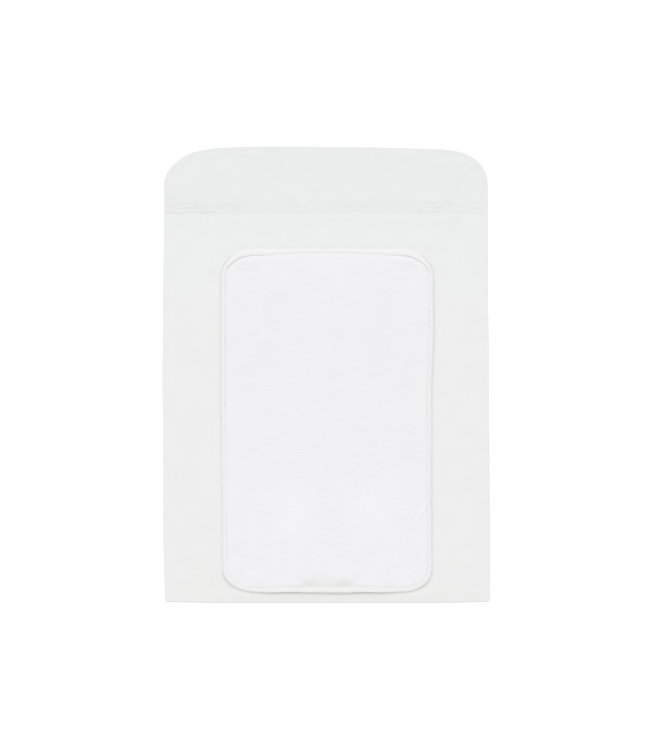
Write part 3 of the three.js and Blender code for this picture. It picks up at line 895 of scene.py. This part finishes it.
def foam(name, rows, low_y, high_y, body, node):
    """A foam slab a little inside the covers, with a relief over the zip."""
    cols = edge_spaced(-HALF_WIDTH, HALF_WIDTH, 9.0, EDGE_ROUND)
    x, y, distance = pad_plan(cols, rows)
    inside = smoothstep(np.minimum(np.minimum(y - low_y, high_y - y), distance - 1.0) / 9)
    shrink = 1 - FOAM_MARGIN / HALF_WIDTH
    top = MID_Z + (PAD_TOP - FOAM_MARGIN - FOAM_TOP_GAP - MID_Z) * inside**0.5
    low = MID_Z - (MID_Z - FOAM_MARGIN) * inside**0.5
    if body == "mat":
        x0, x1, y0, y1 = zip_hole_lines()
        over_zip = smoothstep((x - x0 + ZIP_RELIEF) / 6) * smoothstep((x1 + ZIP_RELIEF - x) / 6)
        over_zip *= smoothstep((y - y0 + ZIP_RELIEF) / 6) * smoothstep((y1 + ZIP_RELIEF - y) / 6)
        low = low + (FOAM_OVER_ZIP - low) * over_zip
        top = np.maximum(top, low + 0.4)
    obj = layer(name, x * shrink, y, low - 0.02, top + 0.02, FOAM)
    as_piece(obj, body, "foam", node)


def seam_row(name, offset, node):
    x = np.arange(-HALF_WIDTH + 5, HALF_WIDTH - 5, 0.9)
    y = np.full_like(x, SEAM_Y + offset) + 0.25 * value_noise(x, x * 0, 9, 21)
    z = surface_z(x, y)
    stitched(name, "fold", node, np.stack([x, y, z], -1), pitch=3.9, length=3.0, radius=0.38)


def surface_z(x, y):
    """Height of the top cover at single points, with the edge distance taken as large."""
    return cover_top(np.asarray(x, float), np.asarray(y, float), np.full_like(x, 40.0))


def outline_path(step):
    """Points round the pad at the perimeter seam, from the seam line down one side and back."""
    right = side_path(1, np.arange(SEAM_Y, FOOT_Y, -step))
    x_foot = np.arange(side_edge(1, np.array(FOOT_Y)), -side_edge(-1, np.array(FOOT_Y)), -step)
    foot = np.stack([x_foot, foot_edge(x_foot)], -1)
    return np.concatenate([right, foot, side_path(-1, np.arange(FOOT_Y, SEAM_Y, step))])


def head_outline_path():
    """Points round the head section at the perimeter seam, left to right."""
    turn = np.linspace(0, np.pi / 2, 60, endpoint=False)
    near = CORNER_START_X + (HALF_WIDTH - CORNER_START_X) * np.cos(turn)
    middle = np.linspace(CORNER_START_X, -CORNER_START_X, 160)
    c = np.concatenate([near, middle, -near[::-1]])
    y = head_edge(c)
    x = c * side_edge(np.sign(c), y) / HALF_WIDTH
    up = np.arange(SEAM_Y, CORNER_START_Y, 2.5)
    return np.concatenate([side_path(1, up), np.stack([x, y], -1), side_path(-1, up)[::-1]])


def perimeter_stitches(name, plan, node):
    """The seam that closes the pad's edge: a fine bead of stitches in the groove."""
    path = np.concatenate([plan, np.full((len(plan), 1), MID_Z)], 1)
    stitched(name, "fold", node, path, pitch=3.4, length=3.0, radius=0.32, sink=0.0)


def build_pad():
    top = cover("body_top_cloth", body_rows(), "body_top_cover")
    head = cover("head_top_cloth", head_rows(), "head_top_cover")
    back = back_cover("body_back_cloth", body_rows(), "body_back_cover", True)
    head_back = back_cover("head_back_cloth", head_rows(), "head_back_cover", False)
    body_end, head_start = SEAM_Y - FOAM_STOP, SEAM_Y + FOAM_STOP
    body_lines = edge_spaced(FOOT_Y, body_end, 9, EDGE_ROUND)
    foam("body_foam", body_lines, FOOT_Y, body_end, "mat", "body_foam_core")
    head_lines = edge_spaced(head_start, HEAD_Y, 7, EDGE_ROUND)
    foam("head_foam", head_lines, head_start, HEAD_Y, "head", "head_foam_core")
    seam_row("seam_stitches_lower", -ROW_OFFSET, "seam_thread_lower")
    seam_row("seam_stitches_upper", ROW_OFFSET, "seam_thread_upper")
    perimeter_stitches("body_edge_stitches", outline_path(2.5), "body_perimeter_seam")
    perimeter_stitches("head_edge_stitches", head_outline_path(), "head_perimeter_seam")


build_pad()


# ---------------------------------------------------------------- the liner's plan
LINER_CORNERS = {(1, 1): (51, 46), (-1, 1): (50, 46), (-1, -1): (50, 41), (1, -1): (45, 37)}
PATCHES = {
    name: tuple((np.add(*box_mm("loop_patch_" + name)) / 2)[:2])
    for name in ("head_left", "head_right", "foot_left", "foot_right")
}
LAP = (-46.0, 53.0)  # the binding's two ends overlap between these, at the bottom


def liner_warp(x, y):
    """The soft liner's edges aren't quite straight: waisted at the sides, sagging below."""
    share = (np.abs(x) / LINER_HALF_X) ** 2
    at_foot = smoothstep((-y - 215) / 40)
    sag = -(1.1 + 0.5 * bell((x - 12) / 24) + 1.5 * smoothstep((np.abs(x) - 60) / 50)) * at_foot
    right = 4.9 - 3.0 * smoothstep((130 - y) / 90) + 0.6 * smoothstep((-y - 130) / 60)
    left = 4.1 - 2.3 * smoothstep((70 - y) / 270)
    moved = x + np.sign(x) * np.where(x > 0, right, left) * share
    return LINER_CENTRE[0] + moved, LINER_CENTRE[1] + y + sag


def liner_ring(step):
    """The liner's outline anticlockwise, at even steps, with its outward normals."""
    parts = []
    for sx, sy, start in ((1, 1, 0), (-1, 1, 90), (-1, -1, 180), (1, -1, 270)):
        rx, ry = LINER_CORNERS[sx, sy]
        turn = np.radians(np.linspace(start, start + 90, 60))
        x = sx * (LINER_HALF_X - rx) + rx * np.cos(turn)
        y = sy * (LINER_HALF_Y - ry) + ry * np.sin(turn)
        parts.append(np.stack([x, y], -1))
    rough = np.concatenate(parts)
    rough = np.concatenate([rough, rough[:1]])
    lengths = lengths_along(rough)
    even = np.linspace(0, lengths[-1], round(lengths[-1] / step), endpoint=False)
    x, y = (np.interp(even, lengths, rough[:, k]) for k in (0, 1))
    ring = np.stack(liner_warp(x, y), -1)
    tangent = unit(np.roll(ring, -1, 0) - np.roll(ring, 1, 0))
    return ring, np.stack([tangent[:, 1], -tangent[:, 0]], -1)


class Edge:
    """How the liner's bound edge changes round its outline, given places and normals on it."""

    def __init__(self, x, y, normal):
        across, along = normal[..., 0], normal[..., 1]
        head = smoothstep((along - 0.45) / 0.4)
        foot = smoothstep((-along - 0.45) / 0.4)
        corner = 2 * np.abs(across * along)
        head_corner = corner * (along > 0)
        off_centre = np.abs(x - LINER_CENTRE[0])
        near_corner = smoothstep((off_centre - 78) / 25) * smoothstep((along - 0.3) / 0.4)
        side_width = np.where(across < 0, 8.8, 8.5)
        head_width = 7.0 + 3.0 * smoothstep((off_centre - 15) / 80) + 1.8 * near_corner
        end_width = np.where(along > 0, head_width, 9.2)
        share = along ** 4
        # how much of the folded tape shows on top
        self.width = side_width * (1 - share) + end_width * share
        # height of its flat top
        self.top = 14.3 - 2.4 * head + 0.3 * foot + 0.8 * head_corner + 1.1 * near_corner
        # it is only held at the patches: between them the foot edge stands up off the cover
        self.upright = foot * smoothstep((118 - off_centre) / 45)
        foot_corner = corner * (along < 0)
        at_side = smoothstep((np.abs(across) - 0.4) / 0.35)
        self.lift = 1.4 * self.upright + 0.4 * foot_corner + 0.6 * at_side * smoothstep((y + 40) / 120)
        # the tape's outer side is wide where it slopes and narrow where it stands up
        self.slant = 4.0 - 2.7 * self.upright - 0.5 * foot_corner
        # how much painted shade, greyer and warmer, its outer faces take: along the sides, most where the
        # foot edge stands up, and a little at the head
        sides = at_side * (0.12 + 0.12 * smoothstep((y + 100) / 60))
        self.painted_shade = np.maximum(np.maximum(sides, self.upright), 0.3 * foot) + 0.1 * head
        # depth of the groove beside it, and how slowly the terry rises from there
        self.groove = 1.2 * near_corner + 0.15 * head_corner ** 2 + 0.1 * foot
        higher_up = 0.4 + 0.6 * smoothstep((y + 150) / 120)
        self.groove += 0.4 * smoothstep((np.abs(across) - 0.75) / 0.2) * higher_up
        self.slope = np.maximum(12 + 13 * head - 14 * head_corner - 14 * near_corner, 5)


def liner_edge(c, inset, sy):
    """Y of the liner's edge, relative to its centre, above (sy 1) or below (-1) each c."""
    rx = np.where(c > 0, LINER_CORNERS[1, sy][0], LINER_CORNERS[-1, sy][0]) - inset
    ry = LINER_CORNERS[1, sy][1] - inset
    u = np.clip((np.abs(c) - (LINER_HALF_X - inset - rx)) / rx, 0, 1)
    return sy * (LINER_HALF_Y - inset - ry * (1 - np.sqrt(1 - u * u)))


def liner_grid(inset, step):
    """Grid points over the liner's plan, with their distances inside its edge and the index
    of the nearest outline point, and that outline's Edge."""
    cols = odd_lines(edge_spaced(-LINER_HALF_X + inset, LINER_HALF_X - inset, step, 6.0, 5))
    rows = odd_lines(edge_spaced(-LINER_HALF_Y + inset, LINER_HALF_Y - inset, step, 6.0, 5))
    c, r = np.meshgrid(cols, rows)
    t = (r - rows[0]) / (rows[-1] - rows[0])
    low, high = liner_edge(c, inset, -1), liner_edge(c, inset, 1)
    x, y = liner_warp(c, low + t * (high - low))
    return x, y, *from_outline(x, y)


def from_outline(x, y):
    """Distances of places on the liner from its edge, the nearest outline points, its Edge."""
    ring, normal = liner_ring(0.6)
    tree = mathutils.kdtree.KDTree(len(ring))
    for i, (px, py) in enumerate(ring):
        tree.insert((px, py, 0), i)
    tree.balance()
    found = [tree.find((px, py, 0)) for px, py in zip(x.ravel(), y.ravel())]
    distance = np.array([f[2] for f in found]).reshape(x.shape)
    nearest = np.array([f[1] for f in found]).reshape(x.shape)
    return distance, nearest, Edge(ring[:, 0], ring[:, 1], normal)


def from_rectangle(x, y, centre, half):
    """Signed distance outside a rectangle."""
    dx = np.abs(x - centre[0]) - half[0]
    dy = np.abs(y - centre[1]) - half[1]
    outside = np.hypot(np.maximum(dx, 0), np.maximum(dy, 0))
    return outside + np.minimum(np.maximum(dx, dy), 0)


def lap_hollow(x, y):
    """How far the liner is pulled in along the inner side of the binding's lap."""
    along = 2.4 * bell((x + 22) / 12) + 2.5 * bell((x - 28) / 12)
    along += 1.1 * smoothstep((44 - np.abs(x - 3)) / 14)
    from_edge = y - (LINER_CENTRE[1] - LINER_HALF_Y)
    return along * np.where(from_edge < 7, bell((from_edge - 7) / 2.8), bell((from_edge - 7) / 8.5))


def patch_relief(x, y):
    """The terry is sewn down round each patch and pressed flatter inside."""
    relief = np.zeros_like(x)
    for centre in PATCHES.values():
        outside = from_rectangle(x, y, centre, BOX_STITCH_HALF)
        relief -= np.maximum(0.06 + 0.16 * value_noise(x, y, 9, 38), 0) * bell(outside / 1.3)
        relief += (0.1 if centre[1] < 0 else -0.28) * smoothstep(-outside / 2.5)
        below = smoothstep((centre[1] - y) / 8)
        relief += (0.12 + 0.25 * below) * bell((outside - 3.0) / 2.2)
    return relief


LINER_FOLDS = [
    # start, end, width, height
    ((-151, -196), (-135, -228), 2.8, 0.8),
    ((-146, -192), (-130, -226), 3.5, -0.7),
    ((156, -196), (136, -232), 2.8, 0.8),
    ((150, -194), (130, -230), 3.5, -0.7),
    ((-147, -256), (-134, -280), 4.5, -1.0),
    ((150, -262), (139, -284), 4.5, -1.0),
    ((-146, 166), (-128, 146), 5, -0.4),
    ((148, 160), (132, 142), 5, -0.4),
    ((-151, -60), (-147, -180), 2.5, -0.25),
    ((152, -80), (147, -180), 2.5, -0.25),
]
PAINTED_SHADE_BANDS = [
    # start, end, width, how much lighter: broad bands of painted light above 0 and painted shade below 0
    ((-80, 150), (-84, -10), 16, -0.6),
    ((92, 150), (84, 0), 16, -0.6),
    ((-130, 30), (-105, -40), 22, -0.5),
    ((135, 30), (105, -40), 22, -0.5),
    ((-52, -170), (-50, -250), 32, 0.7),
    ((68, -170), (66, -250), 38, 0.7),
    ((1, -120), (1, -250), 8, -0.6),
    ((-128, -60), (-130, -200), 16, -0.4),
    ((132, -60), (130, -200), 16, -0.4),
    # painted shade in the creases beside the foot corners and beside the lap of the binding
    ((-146, -260), (-131, -279), 5, -1.3),
    ((148, -266), (139, -287), 5, -1.3),
    ((-41, -316), (45, -316), 5, -1.7),
]


def pile_tone_and_painted_shade(x, y):
    """How light the terry is painted, about -1 to 1: random pile tone, bands of painted shade and painted
    light, painted shade in the creases, lighter towards the foot, lighter inside the foot patches and darker
    inside the head patches.
    """
    lightness = 0.3 * value_noise(x, y * 0.5, 16, 37)
    lightness += 0.35 * value_noise(x * 0.4, y, 9, 42) + 0.3 * value_noise(x * 0.5, y, 4.5, 43)
    lightness = with_folds(lightness, x, y, PAINTED_SHADE_BANDS)
    lightness += 0.45 * smoothstep((-y - 110) / 90)
    for centre in PATCHES.values():
        pressed = smoothstep(-from_rectangle(x, y, centre, PRESSED_HALF) / 2)
        lightness += (0.9 if centre[1] < 0 else -1.0) * pressed
    return lightness


def liner_is_held(x, y):
    """The liner's cloths are held all round by the binding, and at the four patches."""
    held = np.abs(x - LINER_CENTRE[0]) > LINER_HALF_X - 10
    held |= np.abs(y - LINER_CENTRE[1]) > LINER_HALF_Y - 10
    for centre in PATCHES.values():
        held |= from_rectangle(x, y, centre, PATCH_HALF) < 2
    return held


LINER_SLACK = settled_cloth("liner_threads", LINER_LOW, LINER_HIGH, liner_is_held, 0.003)


def terry_surface(x, y, distance, nearest, edge):
    inside = distance - edge.width[nearest]
    valley = (edge.top + edge.lift - 0.1 - edge.groove)[nearest]
    beside = np.maximum(inside, 0)
    groove = edge.groove[nearest]
    ledge = 0.15 + 1.35 * groove
    z = valley + ledge * (1 - np.exp(-np.maximum(beside - 0.8 * groove, 0) / 0.9))
    z += (TERRY_LEVEL - valley - ledge) * (1 - np.exp(-beside / edge.slope[nearest]))
    soft = smoothstep(inside / 3)
    z += (0.2 * value_noise(x, y, 26, 31) + 0.08 * value_noise(x, y, 11, 32) + LINER_SLACK(x, y)) * soft
    z = with_folds(z, x, y, LINER_FOLDS)
    ribs = np.sin(2 * np.pi * (y + 1.2 * value_noise(x * 0.35, y, 14, 33)) / 4.3)
    rib_height = 0.05 + 0.04 * value_noise(x, y, 34, 36)
    pile = value_noise(x * 0.5, y, 1.8, 34) * 0.05 + value_noise(x * 0.4, y * 1.1, 3.2, 35) * 0.08
    z += (rib_height * ribs + pile) * soft
    z += patch_relief(x, y) - lap_hollow(x, y)
    return np.where(inside < 0, valley + 0.35 * np.maximum(inside, -2) - 0.2 - lap_hollow(x, y), z)


def backing_surface(x, y, distance):
    """The film under the liner lies on the cover and rises over the patches."""
    z = FILM_LEVEL + 0.12 * value_noise(x, y, 22, 41) + 0.5 * np.exp(-distance / 4)
    for centre in PATCHES.values():
        outside = from_rectangle(x, y, centre, PATCH_HALF)
        z = np.maximum(z, FILM_LEVEL + 1.5 * smoothstep(1 - np.maximum(outside - 0.5, 0) / 7))
    return z


# ---------------------------------------------------------------- the liner
def build_terry():
    x, y, distance, nearest, edge = liner_grid(2.6, 1.5)
    top = np.stack([x, y, terry_surface(x, y, distance, nearest, edge)], -1)
    under = top[::2, ::2].copy()
    under[..., 2] = np.minimum(under[..., 2] - 0.5, TERRY_BACK_LEVEL)
    obj = sheet_between("terry_cloth", top, under, TERRY)
    places = np.array([v.co[:2] for v in obj.data.vertices]) / MM
    # the terry's pile tone and painted shade, written on its points
    write_on_points(obj, "pile_tone_and_painted_shade", pile_tone_and_painted_shade(places[:, 0], places[:, 1]))
    as_piece(obj, "liner", "terry", "terry_face")


def build_inside_of_liner():
    x, y, distance, nearest, edge = liner_grid(3.6, 5.0)
    low = backing_surface(x, y, distance) + 0.3
    terry = terry_surface(x, y, distance, nearest, edge)
    high = np.maximum(np.minimum(WADDING_LEVEL, terry - 1.1), low + 0.2)
    obj = layer("liner_padding", x, y, low, high, WADDING)
    as_piece(obj, "liner", "wadding", "liner_wadding")

    x, y, distance, _, _ = liner_grid(2.8, 3.0)
    low = backing_surface(x, y, distance)
    obj = layer("liner_film", x, y, low, low + 0.2, FILM)
    as_piece(obj, "liner", "waterproof_film", "waterproof_backing")


PLATEAU = 6  # points across the tape's flat top
# how much of the painted shade each point of the section takes, from the underside outwards and up
PAINTED_SHADE_SHARE = [1.0, 1.0, 1.0, 1.0, 1.0, 1.0, 0.95, 0.6, 0.1]
LIP = len(PAINTED_SHADE_SHARE) + PLATEAU  # the first point past the flat top, under the stitches


def binding_section(edge, w, bulge, grow):
    """The folded tape's section at each outline point: distances in from the edge, heights.

    w is how much shows on top. The section runs along the underside from the inside, up the
    outer side, over the flat top with its row of stitches, and back again on the inner side,
    0.5 to 0.8 mm away."""
    lift = edge.lift
    under = TAPE_SHOWN - w
    low = TAPE_FACE_LEVEL + edge.upright * 1.6 + lift
    top = edge.top + lift + bulge
    slant = np.minimum(edge.slant, w - 3.2)
    lower = slant * (0.3 - 0.2 * edge.upright), low + (top - low) * (0.34 + 0.1 * edge.upright)
    upper = slant * (0.6 - 0.2 * edge.upright), low + (top - low) * (0.7 + 0.14 * edge.upright)
    outside = [
        (under, 10.7 + 0 * w),
        (0.5 * under, 10.35 + 0.4 * lift),
        (1.6 + 0 * w, 10.1 + lift),
        (0.6 - grow, 0.4 * low + 0.6 * (10.1 + lift)),
        (-grow, low),
        (0.05 * lower[0] - grow, low + 0.05 * (lower[1] - low)),
        (lower[0] - 0.8 * grow, lower[1] + 0.3 * grow),
        (upper[0] - 0.5 * grow, upper[1] + 0.6 * grow),
        (slant, top - 0.2 + grow),
    ]
    for k in range(PLATEAU):
        share = (k + 1) / PLATEAU
        outside.append((slant + (w - 2.3 - slant) * share, top + grow))
    fall = top - edge.groove + grow
    stitched_down = [
        (w - 1.6, top - 0.12 - 0.15 * edge.groove + grow),
        (w - 0.8, fall + 0.7 * edge.groove),
        (w - 0.1, fall + 0.2 * edge.groove),
        (w, fall),
    ]
    inside = [(w, fall - 0.4), (w - 1.6, top - 0.85 + 0.5 * grow)]
    for k in range(PLATEAU - 1, 0, -1):
        share = k / PLATEAU
        inside.append((slant + (w - 2.3 - slant) * share, top - 0.6))
    inside += [
        (slant + 0.3, top - 0.8),
        (upper[0] + 0.8, upper[1] - 0.6),
        (lower[0] + 1.0, lower[1] - 0.3),
        (1.0 + 0 * w, low + 0.4),
        (1.7 + 0 * w, 10.65 + 0.5 * (low - 10.25 + lift)),
        (2.6 + 0 * w, 10.75 + lift),
        (0.5 * under, 10.95 + 0.4 * lift),
        (under, 11.25 + 0 * w),
    ]
    section = outside + stitched_down + inside
    return np.stack([p[0] for p in section], 1), np.stack([p[1] for p in section], 1)


def painted_shade_of(edge, around):
    """The painted shade at every point of the swept tape: on its underside and outer faces, and on its inner
    lip beside a deep groove.
    """
    share = np.zeros(around)
    share[:len(PAINTED_SHADE_SHARE)] = PAINTED_SHADE_SHARE
    painted_shade = edge.painted_shade[:, None] * share
    # painted shade on the inner lip, where the groove beside it is deep
    painted_shade[:, LIP + 1:LIP + 5] = 0.35 * edge.groove[:, None] ** 2
    return np.minimum(painted_shade, 1)


def sweep_binding(ring, normal, grow=0.0, extra_width=0.0):
    x, y = ring.T
    edge = Edge(x, y, normal)
    bulge = 0.15 * value_noise(x, y, 6.5, 51) + 0.15 * value_noise(x, y, 14, 52)
    u, z = binding_section(edge, edge.width + extra_width, bulge, grow + 0 * x)
    u[:, 1:-1] += 0.3 * value_noise(x, y, 18, 53)[:, None]
    points = ring[:, None, :] - normal[:, None, :] * u[..., None]
    z -= lap_hollow(points[..., 0], points[..., 1]) * smoothstep((z - 12.5) / 1.5)
    return np.concatenate([points, z[..., None]], -1)


def build_binding():
    ring, normal = liner_ring(1.5)
    points = sweep_binding(ring, normal)
    faces = swept_faces(len(ring), points.shape[1], True)
    obj = mesh_object("liner_binding_tape", points.reshape(-1, 3), faces, BINDING)
    # the painted shade of each point of the tape
    write_on_points(obj, "painted_shade", painted_shade_of(Edge(ring[:, 0], ring[:, 1], normal), points.shape[1]))
    as_piece(obj, "liner", "binding_tape", "liner_binding")
    lap = build_lap(ring, normal)

    row = points[:, LIP]
    path = np.concatenate([row, row[:2]]) + (0, 0, 0.1)
    stitched("binding_stitches", "liner", "binding_thread", path, pitch=3.3, length=2.6, radius=0.3)


def build_lap(ring, normal):
    """Where the binding's ends meet, one end is turned under and laid over the other. It
    reaches further in than the rest of the tape, over the pressed terry."""
    edge = Edge(ring[:, 0], ring[:, 1], normal)
    in_lap = (ring[:, 0] > LAP[0]) & (ring[:, 0] < LAP[1]) & (ring[:, 1] < LINER_CENTRE[1])
    chosen = np.flatnonzero(in_lap)
    near_end = np.minimum(ring[chosen, 0] - LAP[0], LAP[1] - ring[chosen, 0])
    shown = smoothstep(near_end / 14)
    grow = 0.3 * smoothstep(near_end / 2) - 0.25 + 0.25 * shown
    points = sweep_binding(ring[chosen], normal[chosen], grow, 8.5 * shown)
    x, y, z = points.transpose(2, 0, 1)
    distance = y - ring[chosen, 1][:, None]
    nearest = np.broadcast_to(chosen[:, None], x.shape)
    terry = terry_surface(x, y, distance, nearest, edge)
    over_terry = smoothstep((distance - edge.width[nearest] + 1.5) / 1.5) * (z > 12)
    on_top = np.arange(x.shape[1]) < LIP + 4
    points[..., 2] = z + over_terry * (terry + np.where(on_top, 0.3, -0.1) - z)
    faces = swept_faces(len(chosen), points.shape[1], False)
    obj = mesh_object("liner_binding_lap", points.reshape(-1, 3), faces, BINDING_LAP)
    # painted shade, added where the lap's hollows pull the tape in
    painted_hollow_shade = 0.06 * lap_hollow(x, y)
    write_on_points(obj, "painted_shade", np.minimum(painted_shade_of(edge, points.shape[1])[chosen] + painted_hollow_shade, 1))
    as_piece(obj, "liner", "binding_tape")
    return obj


def patch_pad(name, body, slot, node, material, tufts_up):
    """One side of a hook-and-loop patch: a tape with its field of hooks or loops."""
    low, high = box_mm(node)
    cx, cy = (low + high)[:2] / 2
    half_x, half_y = (high - low)[:2] / 2
    cols = np.linspace(-half_x, half_x, 57)
    rows = np.linspace(-half_y, half_y, 27)
    c, r = np.meshgrid(cols, rows)
    corner = np.clip(np.minimum(half_x - np.abs(c), half_y - np.abs(r)) / 1.5, 0, 1)
    field = np.abs(np.sin(np.pi * c / 1.43) * np.sin(np.pi * r / 1.39)) * corner
    base, tip = (low[2], high[2]) if tufts_up else (high[2], low[2])
    rise = (tip - base) * (0.45 + 0.55 * field * (0.8 + 0.2 * value_noise(c, r, 1.1, 61)))
    outer = np.stack([cx + c, cy + r, base + rise], -1)
    inner = np.stack([cx + c, cy + r, np.full_like(c, base)], -1)[::2, ::2]
    obj = sheet_between(name, outer, inner, material, outer_is_up=tufts_up)
    as_piece(obj, body, slot, node)


def build_patches():
    for place, centre in PATCHES.items():
        patch_pad("loops_" + place, "mat", "loop_tape", "loop_patch_" + place, LOOP, True)
        patch_pad("hooks_" + place, "liner", "hook_tape", "hook_patch_" + place, HOOK, False)
        corners = np.array([(-1, -1), (1, -1), (1, 1), (-1, 1), (-1, -1)]) * BOX_STITCH_HALF
        path = []
        for start, end in zip(corners[:-1], corners[1:]):
            share = np.linspace(0, 1, round(np.abs(end - start).max() / 0.8), endpoint=False)
            path.append(start + (end - start) * share[:, None])
        path = np.concatenate(path + [corners[-1:]]) + centre
        z = terry_surface(*path.T, *from_outline(*path.T)) - 0.1
        path = np.concatenate([path, z[:, None]], 1)
        name, node = "box_stitches_" + place, "box_stitch_" + place
        stitched(name, "liner", node, path, pitch=3.2, length=2.5, radius=0.32)


def build_label():
    low, high = box_mm("care_label")
    cols = np.linspace(low[0], high[0], 25)
    rows = np.linspace(low[1], high[1], 17)
    x, y = np.meshgrid(cols, rows)
    z = np.full_like(x, LABEL_LEVEL)
    obj = layer("blank_label", x, y, z - LABEL_HALF, z + LABEL_HALF, LABEL)
    as_piece(obj, "liner", "label_tape", "care_label")


def build_liner():
    build_terry()
    build_inside_of_liner()
    build_binding()
    build_patches()
    build_label()


build_liner()


# ---------------------------------------------------------------- the zip and the elastic
def woven_strip(name, slot, node, material, count, pitch, height):
    """A flat woven strip in a CAD node's box, with ribs across it."""
    low, high = box_mm(node)
    x = np.linspace(low[0], high[0], count)
    y = np.linspace(low[1], high[1], 7)
    gx, gy = np.meshgrid(x, y)
    middle = (low[2] + high[2]) / 2
    relief = height * np.sin(2 * np.pi * gx / pitch)
    low, high = middle - STRIP_HALF - relief, middle + STRIP_HALF + relief
    obj = layer(name, gx, gy, low, high, material)
    as_piece(obj, "mat", slot, node)
    return obj


def build_coil(name, node, side):
    """One side of the zip: a flattened spiral of nylon, sewn along the tape's edge."""
    low, high = box_mm(node)
    pitch = 1.7
    end_gap = 0.6
    turns = int((high[0] - low[0] - 2 * end_gap) / pitch)
    t = np.linspace(0, turns, turns * 10 + 1)
    angle = 2 * np.pi * t
    radius = 0.26
    overlap = 0.35  # each coil's loops reach this far towards the other coil
    reach = (high[1] - low[1]) / 2 - radius + overlap
    tall = (high[2] - low[2]) / 2 - radius
    x = low[0] + end_gap + pitch * t
    y = (low[1] + high[1]) / 2 + side * overlap + reach * np.cos(angle)
    z = (low[2] + high[2]) / 2 + tall * np.sin(angle)
    obj = mesh_object(name, *tube(np.stack([x, y, z], -1), radius, 5), COIL)
    as_piece(obj, "mat", "zip_coil", node)


def build_zip():
    for end in ("foot", "head"):
        name, node = f"zip_cloth_{end}", f"zip_tape_{end}_side"
        tape = woven_strip(name, "zip_tape", node, ZIP_TAPE, count=261, pitch=3.0, height=0.05)
    build_coil("zip_teeth_foot", "zip_coil_foot_side", 1)
    build_coil("zip_teeth_head", "zip_coil_head_side", -1)
    for node in ("zip_stop_left", "zip_stop_right", "zip_slider", "zip_puller"):
        for material_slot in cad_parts[node].material_slots:
            material_slot.material = ZIP_METAL


build_zip()
woven_strip("seam_elastic_tape", "elastic_tape", "seam_elastic", ELASTIC, count=247, pitch=4.0, height=0.08)


# ---------------------------------------------------------------- camera, light and floor
SKY = 0.76
SOFTBOX_SPREAD = 42  # degrees
SOFTBOXES = [
    # direction it shines from, strength
    ((-0.65, 0.36, 0.80), 0.975),
    ((0.65, 0.36, 0.80), 0.81),
]
CAMERA_HEIGHT = 3.0  # in metres
SENSOR_HEIGHT = 24
VIEW_LENGTH = 1149.75  # how much of the pad's plane the view takes in, along Y
VIEW_OFFSET = -1.14975  # the view's middle lies this far left of the origin and below it


def build_stage():
    bpy.ops.mesh.primitive_plane_add(size=40, location=(0, 0, 0))
    floor = bpy.context.object
    floor.name = "floor"
    material, _, shader = new_material("floor")
    set_inputs(shader, {"Base Color": (0.93, 0.93, 0.93, 1), "Roughness": 0.9, "Specular IOR Level": 0.1})
    set_inputs(shader, {"Emission Color": (1, 1, 1, 1), "Emission Strength": 0.3})
    floor.data.materials.append(material)

    world = bpy.data.worlds.new("studio")
    world.use_nodes = True
    set_inputs(world.node_tree.nodes["Background"], {"Color": (1, 1, 1, 1), "Strength": SKY})
    bpy.context.scene.world = world

    for number, (towards, strength) in enumerate(SOFTBOXES):
        light = bpy.data.lights.new(f"softbox_{number}", "SUN")
        light.energy = strength
        light.angle = math.radians(SOFTBOX_SPREAD)
        lamp = link(light.name, light)
        lamp.rotation_euler = mathutils.Vector(towards).to_track_quat("Z", "Y").to_euler()


def build_camera():
    """Looks straight down on the pad."""
    camera = bpy.data.cameras.new("camera")
    camera.sensor_fit = "VERTICAL"
    camera.sensor_height = SENSOR_HEIGHT
    camera.lens = SENSOR_HEIGHT * (CAMERA_HEIGHT - PAD_TOP * MM) / (VIEW_LENGTH * MM)
    obj = link("camera", camera)
    obj.location = (VIEW_OFFSET * MM, VIEW_OFFSET * MM, CAMERA_HEIGHT)
    bpy.context.scene.camera = obj


build_stage()
build_camera()
bpy.context.scene.view_settings.view_transform = "Standard"
